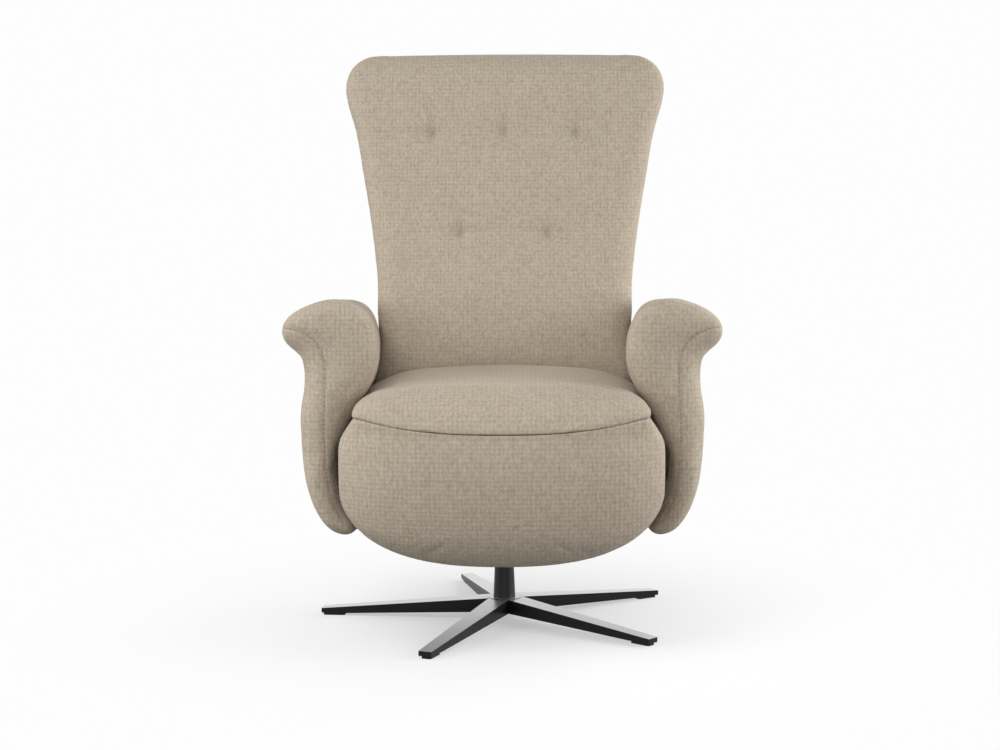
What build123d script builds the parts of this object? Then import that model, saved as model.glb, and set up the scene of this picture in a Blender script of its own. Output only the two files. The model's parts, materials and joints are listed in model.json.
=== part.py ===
from build123d import *
import os
from math import cos, radians, sin, sqrt

# Swivel recliner. Millimetres, +Z up. The chair faces -Y, and the origin lies on the
# floor under the swivel axis.

# General fits
FIT = 0.05
POCKET_FIT = 0.4
RUNNING_GAP = 1.5
WASHER_RATIO = 1.65

# Star base
LEG_COUNT = 5
LEG_REACH = 355.0
LEG_FIRST_ANGLE = 175.6
LEG_ROOT_WIDTH = 42.0
LEG_TIP_WIDTH = 25.0
LEG_TIP_THICKNESS = 9.0
LEG_ROOT_LIFT = 9.0
HUB_RADIUS = 33.0
HUB_HEIGHT = 27.0
GLIDE_HEIGHT = 5.0
GLIDE_LENGTH = 42.0
GLIDE_WIDTH = 19.0
GLIDE_INSET = 3.0

# Column and swivel bearing
COLUMN_HEIGHT = 212.0
COLUMN_FOOT_RADIUS = 21.0
COLUMN_HEAD_RADIUS = 18.5
COLUMN_BORE = 15.0
COLUMN_TAPER_LENGTH = 60.0
BUSH_LENGTH = 26.0
BUSH_FLANGE = 3.0
THRUST_THICKNESS = 2.0
SPINDLE_RADIUS = 12.5
SPINDLE_END = 24.0
CIRCLIP_THICKNESS = 2.0
CIRCLIP_DEPTH = 1.5

# Swivel plate and cross tubes
PLATE_SIZE = 200.0
PLATE_THICKNESS = 6.0
PLATE_CORNER = 22.0
BOLT_PITCH = 150.0
BOLT_RADIUS = 4.0
BOLT_CLEARANCE = 0.2
BOLT_HEAD_RADIUS = 7.0
BOLT_HEAD_HEIGHT = 5.3
TUBE_WIDTH = 40.0
TUBE_HEIGHT = 32.0
TUBE_WALL = 2.5

# Side rails
RAIL_INNER_X = 185.0
RAIL_THICKNESS = 5.0
RAIL_HEIGHT = 115.0
RAIL_FRONT_Y = -256.0
RAIL_REAR_Y = 118.0
RAIL_TAIL_Y = 256.0
RAIL_TAIL_HEIGHT = 40.0
EAR_RADIUS = 17.0
EAR_ROOT_RADIUS = 22.0
FRONT_ROOT_DROP = 34.0
FRONT_KNEE_DROP = 5.0
REAR_ROOT_INSET = 18.0
REAR_ROOT_RISE = 63.0
WINDOW_RISE = 71.0
WINDOW_LENGTH = 86.0
WINDOW_HEIGHT = 46.0
WINDOW_PITCH = 115.0
PIVOT_RADIUS = 6.0

# Seat deck and cushion
DECK_THICKNESS = 18.0
DECK_HALF_WIDTH = 238.0
DECK_FRONT_Y = -243.0
DECK_REAR_Y = 98.0
DECK_BORDER = 55.0
DECK_CORNER = 18.0
STRAP_WIDTH = 46.0
STRAP_THICKNESS = 2.5
SEAT_STRAPS = 5
SEAT_THICKNESS = 105.0
SEAT_FRONT_Y = -300.0
SEAT_REAR_Y = 110.0
SEAT_HALF_WIDTH = 250.0
SEAT_BULGE = 12.0
SEAT_CROWN = 13.0
SEAT_SHOULDER = 24.0
SEAT_SECTIONS = (0.0, 0.25, 0.7, 1.0)
BORDER_SECTIONS = (-1.0, -0.86, -0.55, 0.0, 0.55, 0.86, 1.0)
BORDER_FADE = 0.97
BORDER_ROUND = (0.26, 0.72)

# Footrest
FOOT_PIVOT_Y = -345.0
FOOT_PIVOT_RISE = 20.0
FOOT_SWING = 76.0
PAD_GAP = 3.0
PAD_DEPTH = 103.0
PAD_HALF_WIDTH = 287.0
PAD_DROP = 240.0
PAD_BELLY_DROP = 81.0
PAD_CORNER_RISE = 175.0
PAD_POWER = 2.45
PAD_BOW_POWER = 2.6
PAD_BOW_SPARE = 3.0
PAD_SECTIONS = (-0.985, -0.93, -0.82, -0.62, -0.33, 0.0, 0.33, 0.62, 0.82, 0.93, 0.985)
PAD_BROW = 0.66
PAD_NOSE_RISE = 0.45
PAD_CHIN = (0.74, 0.1)
PAD_KEEL = (0.42, 0.018)
PAD_SEAM_SHARE = 0.95
SEAM_GAP = 0.6
SEAM_RISE = 10.0
BOARD_THICKNESS = 18.0
BOARD_HALF_WIDTH = 225.0
BOARD_HEIGHT = 110.0
BOARD_DROP = 87.0
ARM_PLATE = 5.0
CRANK_RADIUS = 65.0
CRANK_PIN_RADIUS = 5.0
LINK_PLATE = 5.0
LINK_WIDTH = 20.0
EYE_RADIUS = 11.0
FLANGE_WIDTH = 24.0

# Back
BACK_PIVOT_Y = 190.0
BACK_PIVOT_RISE = 63.0
BACK_LEAN = 17.0
BACK_RANGE = 40.0
BACK_PIVOT_OFFSET = 5.0
BACK_LENGTH = 713.0
BACK_START = 25.0
BACK_THICKNESS = 92.0
BACK_TOP_THICKNESS = 72.0
WAIST_HALF_WIDTH = 259.0
WAIST_AT = 205.0
WAIST_TAPER = 20.0
SHOULDER_HALF_WIDTH = 331.0
SHOULDER_DROP = 73.0
FLARE_POWER = 1.35
TOP_CORNER = 73.0
SIDE_ROLL = 24.0
FRONT_CROWN = 12.0
LOWER_EDGE_LENGTH = 60.0
LOWER_EDGE_FALL = 22.0
TOP_EDGE_SHARE = 0.45
LOWER_STEPS = 4
MIDDLE_STEPS = 5
TOP_STEPS = (0.4, 0.7, 0.9, 1.0)
FRAME_THICKNESS = 20.0
FRAME_BAR = 25.0
FRAME_START = 24.0
BACK_STRAPS = 5
BACK_STRAP_WIDTH = 26.0
UPRIGHT_INSET = 1.0
REBATE_LENGTH = 14.0
REBATE_DEPTH = 12.0
COVER_THICKNESS = 22.0
COVER_ROUND = 14.0
COVER_INSET = 16.0
TAIL_HALF_WIDTH = 174.0
TAIL_DROP = 45.0
PLATE_REACH = 150.0
SHAFT_RADIUS = 7.0

# Head part
HEAD_LENGTH = 184.0
HEAD_RANGE = 25.0
HEAD_SPARE_ANGLE = 3.0
FOLD_GAP = 1.5
HEAD_FRAME_DROP = 31.0
HEAD_PIN_RADIUS = 4.0
HEAD_STRAP_WIDTH = 17.0
HEAD_STRAP_REACH = 75.0
HINGE_PLATE = 5.0

# Tufts in the back cushion
TUFT_DEPTH = 13.0
TUFT_WIDTH = 62.0
UPPER_TUFT_PITCH = 146.0
LOWER_TUFT_PITCH = 175.0
LOWER_TUFT_AT = 313.0

# Arms
ARM_FRONT_Y = -264.0
ARM_LENGTH = 470.0
ARM_OUTER_X = 353.0
ARM_HEIGHT = 423.0
ARM_TOE_DROP = 34.0
ARM_WALL = 52.0
ARM_PAD_WIDTH = 132.5
ARM_PAD_DEPTH = 125.0
ARM_TUCK = 97.0
ARM_TOE_RISE = 98.0
ARM_HIP_RISE = 187.0
ARM_WAIST_INSET = 9.0
ARM_WAIST_DROP = 118.0
HORN_FLARE = 39.0
HORN_DROP = 60.0
ARM_REAR_PAD_WIDTH = 92.0
ARM_REAR_DROP = 24.0
ARM_EDGE = 8.0
ARM_EDGE_STEPS = ((0.0, 1.0), (0.12, 0.53), (0.38, 0.21), (1.0, 0.0))
HORN = ((0.24, 1.44), (0.74, 1.24), (1.0, 1.0), (0.8, 0.62), (0.2, 0.33))
PAD_TOP = ((0.2, 0.056), (0.475, 0.0), (0.74, 0.09), (0.93, 0.3), (1.0, 0.62), (0.975, 1.0))
SCOOP = ((0.6, 1.38), (0.19, 1.81))
TOE_INSIDE = ((0.0, 1.45), (0.0, 1.0), (0.33, 0.53), (0.86, 0.2), (1.0, 0.09))
SOLE = ((0.81, 0.0), (0.55, 0.05), (0.29, 0.22), (0.1, 0.5), (0.015, 0.79))
WAIST = ((0.78, 1.28), (1.0, 1.0), (0.6, 0.855))
CORE_THICKNESS = 14.0
CORE_INSET = 3.0
CORE_HEIGHT = 280.0
CORE_CORNER = 35.0
CORE_RISE = 37.0
CORE_FRONT = 50.0
CORE_REAR = 46.0
MOUNT_WIDTH = 40.0
MOUNT_HEIGHT = 26.0
MOUNT_RISE = 7.0
MOUNT_WALL = 2.5
MOUNT_YS = (-140.0, 60.0)

# Rear apron
APRON_THICKNESS = 16.0
APRON_HALF_WIDTH = 282.0
APRON_HEIGHT = 98.0
APRON_ROUND = 7.0
APRON_CORNER = 24.0

# Gas spring and release lever
GAS_PIVOT_Y = -112.0
GAS_BODY_RADIUS = 14.0
GAS_ROD_RADIUS = 5.0
GAS_BODY_LENGTH = 215.0
GAS_PIN_RADIUS = 5.0
GAS_RISE = 8.0
GAS_NECK_RADIUS = 10.0
GAS_EYE_RADIUS = 13.0
GAS_EYE_WIDTH = 14.0
CLEVIS_WALL = 4.0
LEVER_Y = 12.0
LEVER_GAP = 8.0
LEVER_PLATE = 5.0
LEVER_LENGTH = 92.0
LEVER_TILT = 28.0
LEVER_SHAFT_RADIUS = 6.0
PADDLE_WIDTH = 34.0
PADDLE_LENGTH = 46.0
PADDLE_THICKNESS = 7.0

# Heights, one on the other
HUB_Z = GLIDE_HEIGHT + LEG_ROOT_LIFT
HUB_TOP = HUB_Z + HUB_HEIGHT
COLUMN_TOP = HUB_Z + COLUMN_HEIGHT
PLATE_Z = COLUMN_TOP + BUSH_FLANGE + THRUST_THICKNESS
RAIL_Z = PLATE_Z + PLATE_THICKNESS
DECK_Z = RAIL_Z + RAIL_HEIGHT
STRAP_Z = DECK_Z + DECK_THICKNESS
SEAT_Z = STRAP_Z + STRAP_THICKNESS
SEAT_TOP = SEAT_Z + SEAT_THICKNESS
FOOT_PIVOT_Z = SEAT_Z + FOOT_PIVOT_RISE
SEAM_Z = FOOT_PIVOT_Z + SEAM_RISE
PAD_BOTTOM = SEAM_Z - PAD_DROP
BACK_PIVOT_Z = DECK_Z + BACK_PIVOT_RISE
ARM_TOE_Z = RAIL_Z - ARM_TOE_DROP

# Front to back
PAD_REAR_Y = SEAT_FRONT_Y - PAD_GAP

# Side by side, from the rails outwards
RAIL_OUTER_X = RAIL_INNER_X + RAIL_THICKNESS
PLATE_X = RAIL_OUTER_X + RUNNING_GAP
LINK_X = PLATE_X + ARM_PLATE + RUNNING_GAP
LINK_OUTER_X = LINK_X + LINK_PLATE
CORE_X = ARM_OUTER_X - ARM_WALL + CORE_INSET

# Cranks: both sweep the same distance, each centred about straight down
CRANK_BACK_ANGLE = FOOT_SWING / 2
LEVER_BACK_ANGLE = BACK_RANGE / 2
STROKE = 2 * CRANK_RADIUS * sin(radians(CRANK_BACK_ANGLE))
LEVER_RADIUS = STROKE / (2 * sin(radians(LEVER_BACK_ANGLE)))
CRANK_PIN_Y = FOOT_PIVOT_Y + CRANK_RADIUS * sin(radians(CRANK_BACK_ANGLE))
CRANK_PIN_Z = FOOT_PIVOT_Z - CRANK_RADIUS * cos(radians(CRANK_BACK_ANGLE))
SHAFT_Y = BACK_PIVOT_Y + LEVER_RADIUS * sin(radians(LEVER_BACK_ANGLE))
SHAFT_Z = BACK_PIVOT_Z - LEVER_RADIUS * cos(radians(LEVER_BACK_ANGLE))
CRANK_DIP = CRANK_RADIUS * (1 - cos(radians(CRANK_BACK_ANGLE)))
LEVER_DIP = LEVER_RADIUS * (1 - cos(radians(LEVER_BACK_ANGLE)))
EYE_PLAY = 1.2
SLOT_PLAY = CRANK_DIP - LEVER_DIP + EYE_PLAY

# Along the back, measured down from its top
SHOULDER_AT = BACK_LENGTH - SHOULDER_DROP
HEAD_FOLD_AT = BACK_LENGTH - HEAD_LENGTH
HEAD_FRAME_TOP = BACK_LENGTH - HEAD_FRAME_DROP

# Frame of the leaning back: u across, v up along it, w to the front
LEAN_SIN = sin(radians(BACK_LEAN))
LEAN_COS = cos(radians(BACK_LEAN))
BACK_UP = Vector(0, LEAN_SIN, LEAN_COS)
BACK_FRONT = Vector(0, -LEAN_COS, LEAN_SIN)
BACK_ORIGIN = Vector(0, BACK_PIVOT_Y, BACK_PIVOT_Z) - BACK_FRONT * BACK_PIVOT_OFFSET
BACK_PLANE = Plane(BACK_ORIGIN, x_dir=(1, 0, 0), z_dir=BACK_FRONT)
FOLD_W = -FRAME_THICKNESS / 2
WEDGE_HALF_ANGLE = (HEAD_RANGE + HEAD_SPARE_ANGLE) / 2

SIDES = ((-1, "left"), (1, "right"))

os.makedirs("parts", exist_ok=True)


def back_point(u, v, w):
    """Return the point of the leaning back's frame in the chair's frame."""
    return BACK_ORIGIN + Vector(u, 0, 0) + BACK_UP * v + BACK_FRONT * w


def plate_plane(side, inner_x, thickness):
    """Return the YZ plane from which a side plate of the given side is extruded along +X."""
    return Plane.YZ.offset(inner_x if side > 0 else -inner_x - thickness)


def export_piece(part, name):
    """Label a finished piece and write it."""
    part.label = name
    export_step(part, f"parts/{name}.step")


def tapered_bar(start, start_radius, end, end_radius):
    """Add to the current sketch the straight-sided bar round two circles."""
    with BuildLine() as outline:
        CenterArc(start, start_radius, 0, 360)
        CenterArc(end, end_radius, 0, 360)
    make_hull(outline.edges())


def superellipse(share, power):
    """Return the height, 1 at the middle and 0 at the end, of a superellipse."""
    return max(0.0, 1 - abs(share) ** power) ** (1 / power)


# Star base: flat legs that taper in width and height, round a bored hub
with BuildPart() as star_base:
    flat_start = LEG_REACH - GLIDE_LENGTH - 2 * GLIDE_INSET
    tip_top = GLIDE_HEIGHT + LEG_TIP_THICKNESS
    fall = (HUB_TOP - tip_top) / (LEG_REACH - COLUMN_FOOT_RADIUS)
    taper = (LEG_ROOT_WIDTH - LEG_TIP_WIDTH) / (LEG_REACH - COLUMN_FOOT_RADIUS)
    for leg in range(LEG_COUNT):
        angle = radians(LEG_FIRST_ANGLE + leg * 360 / LEG_COUNT)
        outward = Vector(cos(angle), sin(angle), 0)
        for reach, low in (
            (COLUMN_FOOT_RADIUS, HUB_Z),
            (flat_start, GLIDE_HEIGHT),
            (LEG_REACH, GLIDE_HEIGHT),
        ):
            high = tip_top + fall * (LEG_REACH - reach)
            width = LEG_TIP_WIDTH + taper * (LEG_REACH - reach)
            section = Plane(outward * reach, x_dir=(-sin(angle), cos(angle), 0), z_dir=outward)
            with BuildSketch(section):
                with Locations((0, (low + high) / 2)):
                    Rectangle(width, high - low)
        loft(ruled=True)
    with BuildSketch(Plane.XY.offset(HUB_Z)):
        Circle(HUB_RADIUS)
    extrude(amount=HUB_HEIGHT)
    with BuildSketch(Plane.XY.offset(HUB_Z)):
        Circle(COLUMN_FOOT_RADIUS + FIT)
    extrude(amount=HUB_HEIGHT, mode=Mode.SUBTRACT)
export_piece(star_base.part, "star_base")

# Glides under the leg tips
with BuildPart() as foot_glides:
    with BuildSketch():
        with PolarLocations(LEG_REACH - GLIDE_INSET - GLIDE_LENGTH / 2, LEG_COUNT, LEG_FIRST_ANGLE):
            RectangleRounded(GLIDE_LENGTH, GLIDE_WIDTH, GLIDE_WIDTH / 4)
    extrude(amount=GLIDE_HEIGHT)
export_piece(foot_glides.part, "foot_glides")

# Column: a steel tube pressed into the hub, tapering above it
with BuildPart() as column:
    with BuildSketch(Plane.XZ):
        with BuildLine():
            Polyline(
                (COLUMN_BORE, HUB_Z),
                (COLUMN_FOOT_RADIUS, HUB_Z),
                (COLUMN_FOOT_RADIUS, HUB_TOP),
                (COLUMN_HEAD_RADIUS, HUB_TOP + COLUMN_TAPER_LENGTH),
                (COLUMN_HEAD_RADIUS, COLUMN_TOP),
                (COLUMN_BORE, COLUMN_TOP),
                close=True,
            )
        make_face()
    revolve(axis=Axis.Z)
export_piece(column.part, "column")

# Bushes in the column's bore
LOWER_BUSH_Z = HUB_Z + SPINDLE_END + 4 * CIRCLIP_THICKNESS
with BuildPart() as lower_bush:
    with BuildSketch(Plane.XY.offset(LOWER_BUSH_Z)):
        Circle(COLUMN_BORE - FIT)
        Circle(SPINDLE_RADIUS + FIT, mode=Mode.SUBTRACT)
    extrude(amount=BUSH_LENGTH)
export_piece(lower_bush.part, "lower_bush")

with BuildPart() as upper_bush:
    with BuildSketch(Plane.XY.offset(COLUMN_TOP - BUSH_LENGTH)):
        Circle(COLUMN_BORE - FIT)
    extrude(amount=BUSH_LENGTH)
    with BuildSketch(Plane.XY.offset(COLUMN_TOP)):
        Circle(COLUMN_HEAD_RADIUS)
    extrude(amount=BUSH_FLANGE)
    with BuildSketch(Plane.XY.offset(COLUMN_TOP - BUSH_LENGTH)):
        Circle(SPINDLE_RADIUS + FIT)
    extrude(amount=BUSH_LENGTH + BUSH_FLANGE, mode=Mode.SUBTRACT)
export_piece(upper_bush.part, "upper_bush")

with BuildPart() as thrust_ring:
    with BuildSketch(Plane.XY.offset(COLUMN_TOP + BUSH_FLANGE)):
        Circle(COLUMN_HEAD_RADIUS)
        Circle(SPINDLE_RADIUS + FIT, mode=Mode.SUBTRACT)
    extrude(amount=THRUST_THICKNESS)
export_piece(thrust_ring.part, "thrust_ring")

# Swivel plate with its spindle
CIRCLIP_Z = LOWER_BUSH_Z - CIRCLIP_THICKNESS
with BuildPart() as swivel_plate:
    with BuildSketch(Plane.XY.offset(PLATE_Z)):
        RectangleRounded(PLATE_SIZE, PLATE_SIZE, PLATE_CORNER)
        with GridLocations(BOLT_PITCH, BOLT_PITCH, 2, 2):
            Circle(BOLT_RADIUS + BOLT_CLEARANCE, mode=Mode.SUBTRACT)
    extrude(amount=PLATE_THICKNESS)
    with BuildSketch(Plane.XY.offset(HUB_Z + SPINDLE_END)):
        Circle(SPINDLE_RADIUS)
    extrude(amount=PLATE_Z - HUB_Z - SPINDLE_END)
    with BuildSketch(Plane.XY.offset(CIRCLIP_Z - FIT)):
        Circle(SPINDLE_RADIUS)
        Circle(SPINDLE_RADIUS - CIRCLIP_DEPTH - FIT, mode=Mode.SUBTRACT)
    extrude(amount=CIRCLIP_THICKNESS + FIT, mode=Mode.SUBTRACT)
export_piece(swivel_plate.part, "swivel_plate")

with BuildPart() as retaining_ring:
    with BuildSketch(Plane.XY.offset(CIRCLIP_Z)):
        Circle(SPINDLE_RADIUS + CIRCLIP_DEPTH)
        Circle(SPINDLE_RADIUS - CIRCLIP_DEPTH, mode=Mode.SUBTRACT)
        with Locations((SPINDLE_RADIUS, 0)):
            Rectangle(SPINDLE_RADIUS, 2 * CIRCLIP_DEPTH, mode=Mode.SUBTRACT)
    extrude(amount=CIRCLIP_THICKNESS - FIT)
export_piece(retaining_ring.part, "retaining_ring")

with BuildPart() as swivel_bolts:
    with BuildSketch(Plane.XY.offset(PLATE_Z - BOLT_HEAD_HEIGHT)):
        with GridLocations(BOLT_PITCH, BOLT_PITCH, 2, 2):
            RegularPolygon(BOLT_HEAD_RADIUS, 6)
    extrude(amount=BOLT_HEAD_HEIGHT)
    with BuildSketch(Plane.XY.offset(PLATE_Z)):
        with GridLocations(BOLT_PITCH, BOLT_PITCH, 2, 2):
            Circle(BOLT_RADIUS)
    extrude(amount=PLATE_THICKNESS + TUBE_WALL + BOLT_HEAD_HEIGHT)
export_piece(swivel_bolts.part, "swivel_bolts")

# Cross tubes over the plate, from rail to rail
for tube_y, tube_name in ((-BOLT_PITCH / 2, "front_cross_tube"), (BOLT_PITCH / 2, "rear_cross_tube")):
    with BuildPart() as cross_tube:
        with BuildSketch(Plane.YZ.offset(-RAIL_INNER_X)):
            with Locations((tube_y, RAIL_Z + TUBE_HEIGHT / 2)):
                RectangleRounded(TUBE_WIDTH, TUBE_HEIGHT, TUBE_WALL)
                Rectangle(
                    TUBE_WIDTH - 2 * TUBE_WALL, TUBE_HEIGHT - 2 * TUBE_WALL, mode=Mode.SUBTRACT
                )
        extrude(amount=2 * RAIL_INNER_X)
        with BuildSketch(Plane.XY.offset(RAIL_Z)):
            with Locations((-BOLT_PITCH / 2, tube_y), (BOLT_PITCH / 2, tube_y)):
                Circle(BOLT_RADIUS + BOLT_CLEARANCE)
        extrude(amount=TUBE_WALL, mode=Mode.SUBTRACT)
    export_piece(cross_tube.part, tube_name)

# Side rails: beam, front ear for the footrest, rear ear for the back, tail for the apron
FRONT_KNEE = (SEAT_FRONT_Y + EAR_RADIUS, FOOT_PIVOT_Z - FRONT_KNEE_DROP)
FRONT_ROOT = (RAIL_FRONT_Y, DECK_Z - FRONT_ROOT_DROP)
REAR_ROOT = (RAIL_REAR_Y - REAR_ROOT_INSET, RAIL_Z + REAR_ROOT_RISE)
BEAM_MIDDLE = (RAIL_FRONT_Y + RAIL_REAR_Y) / 2
for side, label in SIDES:
    with BuildPart() as side_rail:
        with BuildSketch(plate_plane(side, RAIL_INNER_X, RAIL_THICKNESS)):
            with Locations((BEAM_MIDDLE, RAIL_Z + RAIL_HEIGHT / 2)):
                Rectangle(RAIL_REAR_Y - RAIL_FRONT_Y, RAIL_HEIGHT)
            tapered_bar(FRONT_ROOT, EAR_ROOT_RADIUS, FRONT_KNEE, EAR_RADIUS)
            tapered_bar(FRONT_KNEE, EAR_RADIUS, (FOOT_PIVOT_Y, FOOT_PIVOT_Z), EAR_RADIUS)
            tapered_bar(REAR_ROOT, EAR_ROOT_RADIUS, (BACK_PIVOT_Y, BACK_PIVOT_Z), EAR_RADIUS)
            with Locations(((RAIL_REAR_Y + RAIL_TAIL_Y) / 2, RAIL_Z + RAIL_TAIL_HEIGHT / 2)):
                Rectangle(RAIL_TAIL_Y - RAIL_REAR_Y, RAIL_TAIL_HEIGHT)
            with Locations((BEAM_MIDDLE, RAIL_Z + WINDOW_RISE)):
                with GridLocations(WINDOW_PITCH, 0, 3, 1):
                    SlotOverall(WINDOW_LENGTH, WINDOW_HEIGHT, mode=Mode.SUBTRACT)
            with Locations((FOOT_PIVOT_Y, FOOT_PIVOT_Z), (BACK_PIVOT_Y, BACK_PIVOT_Z)):
                Circle(PIVOT_RADIUS + FIT, mode=Mode.SUBTRACT)
        extrude(amount=RAIL_THICKNESS)
    export_piece(side_rail.part, f"{label}_side_rail")

# Seat deck: a wooden ring with elastic straps across it
DECK_LENGTH = DECK_REAR_Y - DECK_FRONT_Y
DECK_MIDDLE = (DECK_REAR_Y + DECK_FRONT_Y) / 2
with BuildPart() as seat_frame:
    with BuildSketch(Plane.XY.offset(DECK_Z)):
        with Locations((0, DECK_MIDDLE)):
            RectangleRounded(2 * DECK_HALF_WIDTH, DECK_LENGTH, DECK_CORNER)
            RectangleRounded(
                2 * (DECK_HALF_WIDTH - DECK_BORDER),
                DECK_LENGTH - 2 * DECK_BORDER,
                DECK_CORNER,
                mode=Mode.SUBTRACT,
            )
    extrude(amount=DECK_THICKNESS)
export_piece(seat_frame.part, "seat_frame")

with BuildPart() as seat_straps:
    with BuildSketch(Plane.XY.offset(STRAP_Z)):
        with Locations((0, DECK_MIDDLE)):
            with GridLocations(0, (DECK_LENGTH - 2 * DECK_BORDER) / SEAT_STRAPS, 1, SEAT_STRAPS):
                Rectangle(2 * DECK_HALF_WIDTH - DECK_BORDER, STRAP_WIDTH)
    extrude(amount=STRAP_THICKNESS)
export_piece(seat_straps.part, "seat_straps")


def seat_height(share):
    """Return the seat's height over the seam at a share of its half width."""
    return (SEAT_TOP - SEAT_CROWN / 2 - SEAM_Z) * sqrt(max(0.0, 1 - abs(share) ** 4))


def pad_depth(x):
    """Return how far the footrest pad stands out from its board at this X."""
    return PAD_DEPTH * superellipse(x / (PAD_HALF_WIDTH + PAD_BOW_SPARE), PAD_BOW_POWER)


SLOT_X = RAIL_INNER_X - 2 * RUNNING_GAP
SLOT_WIDTH = LINK_OUTER_X + 2 * RUNNING_GAP - SLOT_X


def hinge_slot(side, y_front, y_rear, z_low, z_high):
    """Return the outline of the slot that one side's footrest hinge plates run in."""
    with BuildSketch(plate_plane(side, SLOT_X, SLOT_WIDTH)) as slot:
        with Locations(((y_front + y_rear) / 2, (z_low + z_high) / 2)):
            Rectangle(y_rear - y_front, z_high - z_low)
    return slot.sketch


# Seat cushion: crowned top, bulging sides, flat underside
with BuildPart() as seat_cushion:
    for share in SEAT_SECTIONS:
        y = SEAT_FRONT_Y + share * (SEAT_REAR_Y - SEAT_FRONT_Y)
        end_fall = SEAT_CROWN * (2 * share - 1) ** 2 / 2
        half = SEAT_HALF_WIDTH - 2 * end_fall
        shoulder_z = SEAT_TOP - SEAT_CROWN - end_fall
        with BuildSketch(Plane.XZ.offset(-y)):
            with BuildLine():
                Line((-half, SEAT_Z), (half, SEAT_Z))
                ThreePointArc(
                    (half, SEAT_Z),
                    (half + SEAT_BULGE, (SEAT_Z + shoulder_z) / 2),
                    (half - SEAT_SHOULDER, shoulder_z),
                )
                ThreePointArc(
                    (half - SEAT_SHOULDER, shoulder_z),
                    (0, SEAT_TOP - end_fall),
                    (SEAT_SHOULDER - half, shoulder_z),
                )
                ThreePointArc(
                    (SEAT_SHOULDER - half, shoulder_z),
                    (-half - SEAT_BULGE, (SEAT_Z + shoulder_z) / 2),
                    (-half, SEAT_Z),
                )
            make_face()
    loft()
    slot_rear = RAIL_FRONT_Y + EAR_RADIUS
    slot_top = FOOT_PIVOT_Z + EAR_RADIUS + RUNNING_GAP
    for side, label in SIDES:
        slot = hinge_slot(side, SEAT_FRONT_Y, slot_rear, SEAT_Z, slot_top)
        extrude(slot, amount=SLOT_WIDTH, mode=Mode.SUBTRACT)
export_piece(seat_cushion.part, "seat_cushion")

# Front border of the seat, the soft roll between the seat and the footrest seam
with BuildPart() as front_border:
    border_half = SEAT_HALF_WIDTH + SEAT_BULGE / 2
    for share in BORDER_SECTIONS:
        x = share * border_half
        top_z = SEAM_Z + SEAM_GAP + seat_height(share * BORDER_FADE)
        lip_y = PAD_REAR_Y - PAD_SEAM_SHARE * pad_depth(x)
        with BuildSketch(Plane.YZ.offset(x)):
            with BuildLine():
                Line((SEAT_FRONT_Y, SEAM_Z + SEAM_GAP), (SEAT_FRONT_Y, top_z))
                ThreePointArc(
                    (SEAT_FRONT_Y, top_z),
                    (
                        lip_y + BORDER_ROUND[0] * (SEAT_FRONT_Y - lip_y),
                        SEAM_Z + BORDER_ROUND[1] * (top_z - SEAM_Z),
                    ),
                    (lip_y, SEAM_Z + SEAM_GAP),
                )
                Line((lip_y, SEAM_Z + SEAM_GAP), (SEAT_FRONT_Y, SEAM_Z + SEAM_GAP))
            make_face()
    loft()
    slot_front = FOOT_PIVOT_Y - EAR_RADIUS - RUNNING_GAP
    for side, label in SIDES:
        slot = hinge_slot(side, slot_front, SEAT_FRONT_Y, SEAM_Z, slot_top)
        extrude(slot, amount=SLOT_WIDTH, mode=Mode.SUBTRACT)
export_piece(front_border.part, "front_border")

# Footrest pad: flat behind, bowed in plan, boat-shaped below
BELLY_Z = SEAM_Z - PAD_BELLY_DROP
with BuildPart() as footrest_cushion:
    for share in PAD_SECTIONS:
        x = share * PAD_HALF_WIDTH
        low = BELLY_Z - (BELLY_Z - PAD_BOTTOM) * superellipse(share, PAD_POWER)
        high = BELLY_Z + PAD_CORNER_RISE * superellipse(share, PAD_POWER)
        tall = high - low
        depth = pad_depth(x)
        brow = (PAD_REAR_Y - PAD_BROW * depth, high)
        nose = (PAD_REAR_Y - depth, low + PAD_NOSE_RISE * tall)
        chin = (PAD_REAR_Y - PAD_CHIN[0] * depth, low + PAD_CHIN[1] * tall)
        keel = (PAD_REAR_Y - PAD_KEEL[0] * depth, low + PAD_KEEL[1] * tall)
        with BuildSketch(Plane.YZ.offset(x)):
            with BuildLine():
                Polyline((PAD_REAR_Y, low), (PAD_REAR_Y, high), brow)
                ThreePointArc(brow, nose, chin)
                ThreePointArc(chin, keel, (PAD_REAR_Y, low))
            make_face()
    loft()
    split(bisect_by=Plane.XY.offset(SEAM_Z), keep=Keep.BOTTOM)
    split(bisect_by=Plane.XZ.offset(-PAD_REAR_Y), keep=Keep.TOP)
    slot_front = FOOT_PIVOT_Y - EAR_RADIUS - 2 * RUNNING_GAP
    slot_low = CRANK_PIN_Z - SLOT_PLAY - EYE_RADIUS - 2 * RUNNING_GAP
    for side, label in SIDES:
        slot = hinge_slot(side, slot_front, PAD_REAR_Y, slot_low, SEAM_Z)
        extrude(slot, amount=SLOT_WIDTH, mode=Mode.SUBTRACT)
export_piece(footrest_cushion.part, "footrest_cushion")

# Footrest board behind the pad
BOARD_TOP = SEAM_Z - BOARD_DROP
with BuildPart() as footrest_board:
    with BuildSketch(Plane.XZ.offset(-PAD_REAR_Y - BOARD_THICKNESS)):
        with Locations((0, BOARD_TOP - BOARD_HEIGHT / 2)):
            RectangleRounded(2 * BOARD_HALF_WIDTH, BOARD_HEIGHT, BOARD_HEIGHT / 4)
    extrude(amount=BOARD_THICKNESS)
export_piece(footrest_board.part, "footrest_board")

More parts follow.
